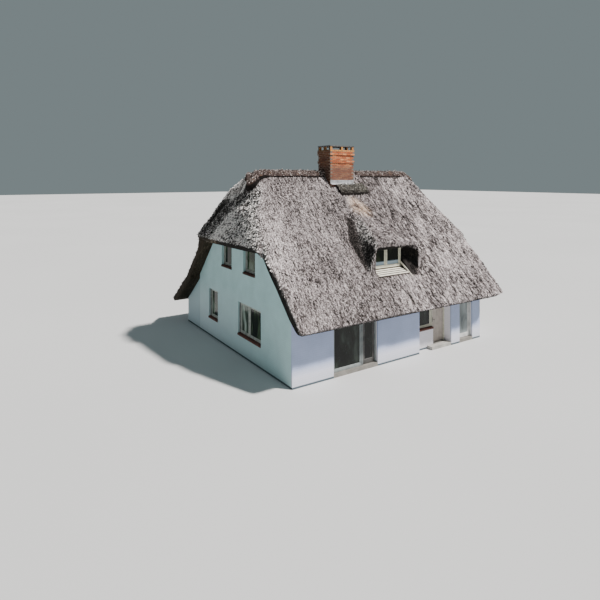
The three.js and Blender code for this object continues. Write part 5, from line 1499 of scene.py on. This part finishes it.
LEAVES = {
    "entrance_door": ("entrance_leaf", boarded, SAND_GREY, None, (2.531, 3.289)),
    "terrace_door": ("terrace_leaf", glazed, DARK_LEAF, GLASS, (-1.959, -1.331)),
    "garden_door": ("garden_leaf", glazed, GREY_WHITE, PALE_GLASS, (4.031, 4.829)),
}
for node, (body, build, paint, glass, (x0, x1)) in LEAVES.items():
    low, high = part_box(node)
    outer_y = low.y + LEAF_SET_BACK
    inner_y = outer_y + LEAF_THICK
    place = Matrix.Translation((x0, outer_y, low.z))
    spans, panes = build(x1 - x0, high.z - low.z)
    slot = "painted_wood" if glass else "door_wood"
    joinery(node + "_leaf", spans, 0.004, place, paint, body, [node])
    if glass:
        joinery(node + "_pane", panes, 0.0, place, glass, body)
    axis_x = x1 + AXIS_OUT
    lift = low.z + HINGE_TALL + KNUCKLE_GAP - HINGE_DROP
    fittings = {
        "_lever": (body, lever_set(node + "_lever", x0 + LEAF_STILE / 2, outer_y, inner_y, low.z)),
        "_hinges": (body, hinge_set(node + "_hinges", axis_x, inner_y, lift, -1)),
        "_fixed_hinges": ("house", hinge_set(node + "_fixed_hinges", axis_x, inner_y, low.z - HINGE_DROP, 1)),
    }
    for ending, (carrier, metal) in fittings.items():
        dressed(node + ending, metal, BLACK_IRON, carrier)

# %% [markdown]
# ## The apron of the front dormer
# Four cream boards under the window shed the rain onto the cut reed below. They lie on a tarred backing, the
# frame's own solid, which shows as a brown line in the gaps between them. A narrow board covers the reed
# along their right end and runs up to the window frame.

# %% Lay the apron boards
APRON_BOARDS = 4
APRON_FOOT_CLEAR = 0.024
BOARD_GAP = 0.072
BOARD_THICK = 0.020
BOARD_PROUD = 0.006
SIDE_BOARD = {"thick": 0.024, "deep": 0.060}
apron_run = Vector((0, APRON_LOW.y - APRON_HIGH.y, APRON_LOW.z + APRON_FOOT_CLEAR - APRON_HIGH.z))
slope_angle = math.atan2(-apron_run.z, -apron_run.y)
outward = Vector((0, apron_run.z, -apron_run.y)).normalized()
board_pitch = apron_run.length / APRON_BOARDS
board_size = (APRON_HIGH.x - APRON_LOW.x, board_pitch - BOARD_GAP, BOARD_THICK)
apron_rows = []
for i in range(APRON_BOARDS):
    middle = Vector(((APRON_LOW.x + APRON_HIGH.x) / 2, APRON_HIGH.y, APRON_HIGH.z))
    middle += apron_run * ((i + 0.5) / APRON_BOARDS) + outward * (BOARD_PROUD - BOARD_THICK / 2)
    apron_rows.append((tuple(middle), (slope_angle, 0, 0), board_size))
side_top = Vector((APRON_HIGH.x - 0.015, APRON_HIGH.y, APRON_HIGH.z + 0.235))
side_foot = Vector((APRON_HIGH.x - 0.010, APRON_LOW.y - 0.15, APRON_LOW.z - 0.135))
side_run = side_foot - side_top
apron_rows.append((tuple((side_top + side_foot) / 2), tuple(side_run.to_track_quat("Y", "Z").to_euler()),
                   (SIDE_BOARD["thick"], side_run.length, SIDE_BOARD["deep"])))
lay("apron_boards", 0.003, apron_rows, BOARDS, 0.001, 5)
BACKING = painted_joinery("tarred_softwood_backing", "#33231a", "#1a110b", (0.15, 1.0, 1.0))
finish_node(BACKING, "front_dormer_apron")

# %% [markdown]
# ## Upper floor
# Boards of planed spruce run the length of the house. They are seen only through an open door or from below.

# %% Finish the upper floor
def planed_spruce():
    """Spruce boards 140 mm wide and 3.6 m long, in two tones, with a long grain of 14 mm and dark joints."""
    material, tree, shader, place = start_material("planed_spruce_boards", Roughness=0.6)
    long = add(tree, "ShaderNodeMapping", {"Vector": place, "Scale": (0.06, 1.0, 1.0)}).outputs[0]
    grain = add(tree, "ShaderNodeTexNoise", {"Vector": long, "Scale": 70.0, "Detail": 4.0})
    boards = add(tree, "ShaderNodeTexBrick", {
        "Vector": place, "Scale": 1.0, "Mortar Size": 0.003, "Brick Width": 3.6, "Row Height": 0.14,
        "Color1": linear("#d8b98c"), "Color2": linear("#c4a174"),
        "Mortar": linear("#4b3826")}).outputs["Color"]
    colour = add(tree, "ShaderNodeMix", {0: 0.35, 6: boards, 7: grain.outputs["Color"]},
                 data_type="RGBA", blend_type="MULTIPLY").outputs[2]
    finish_surface(tree, shader, colour, grain.outputs["Fac"], 0.0006, 0.5)
    return material


finish_node(planed_spruce(), "upper_floor")

# %% [markdown]
# ## Floor and light
# The house stands on a plain pale floor under a pale even sky. One large soft lamp stands high to the front
# right, where the sun stands in the photograph, so that the front slope is bright, each clump of reed throws
# a small shadow, and the left gable lies in cool open shade.

# %% Floor, lamp and sky
FLOOR_REACH = 250.0
FLOOR_LEVEL = -0.002
LAMP_STRENGTH = 7.4
LAMP_SPREAD = math.radians(3.5)
LAMP_AIM = (-0.52, 0.59, -1.0)
SKY_STRENGTH = 0.30


def pale_floor():
    """A matte and almost even floor, with a haze of 20 m."""
    material, tree, shader, place = start_material("pale_studio_floor", Roughness=0.9)
    haze = add(tree, "ShaderNodeTexNoise", {"Vector": place, "Scale": 0.05, "Detail": 2.0}).outputs["Fac"]
    tint = add(tree, "ShaderNodeValToRGB", {"Fac": haze},
               stops=[(0.3, "#cbcccd"), (0.7, "#d0d1d2")]).outputs[0]
    tree.links.new(tint, shader.inputs["Base Color"])
    return material


corners = [(x * FLOOR_REACH, y * FLOOR_REACH, FLOOR_LEVEL) for x, y in ((-1, -1), (1, -1), (1, 1), (-1, 1))]
floor_mesh = bpy.data.meshes.new("floor")
floor_mesh.from_pydata(corners, [], [(0, 1, 2, 3)])
floor_mesh.materials.append(pale_floor())
link("floor", floor_mesh)

lamp = bpy.data.objects.new("key_lamp", bpy.data.lights.new("key_lamp", "SUN"))
bpy.context.scene.collection.objects.link(lamp)
lamp.data.energy = LAMP_STRENGTH
lamp.data.angle = LAMP_SPREAD
lamp.data.color = linear("#fffaf5")[:3]
lamp.rotation_euler = Vector(LAMP_AIM).to_track_quat("-Z", "Y").to_euler()

world = bpy.data.worlds.new("studio_sky")
bpy.context.scene.world = world
world.use_nodes = True
sky = world.node_tree.nodes["Background"]
sky.inputs["Color"].default_value = linear("#cfe2e6")
sky.inputs["Strength"].default_value = SKY_STRENGTH
print("light: one soft lamp and a pale sky")
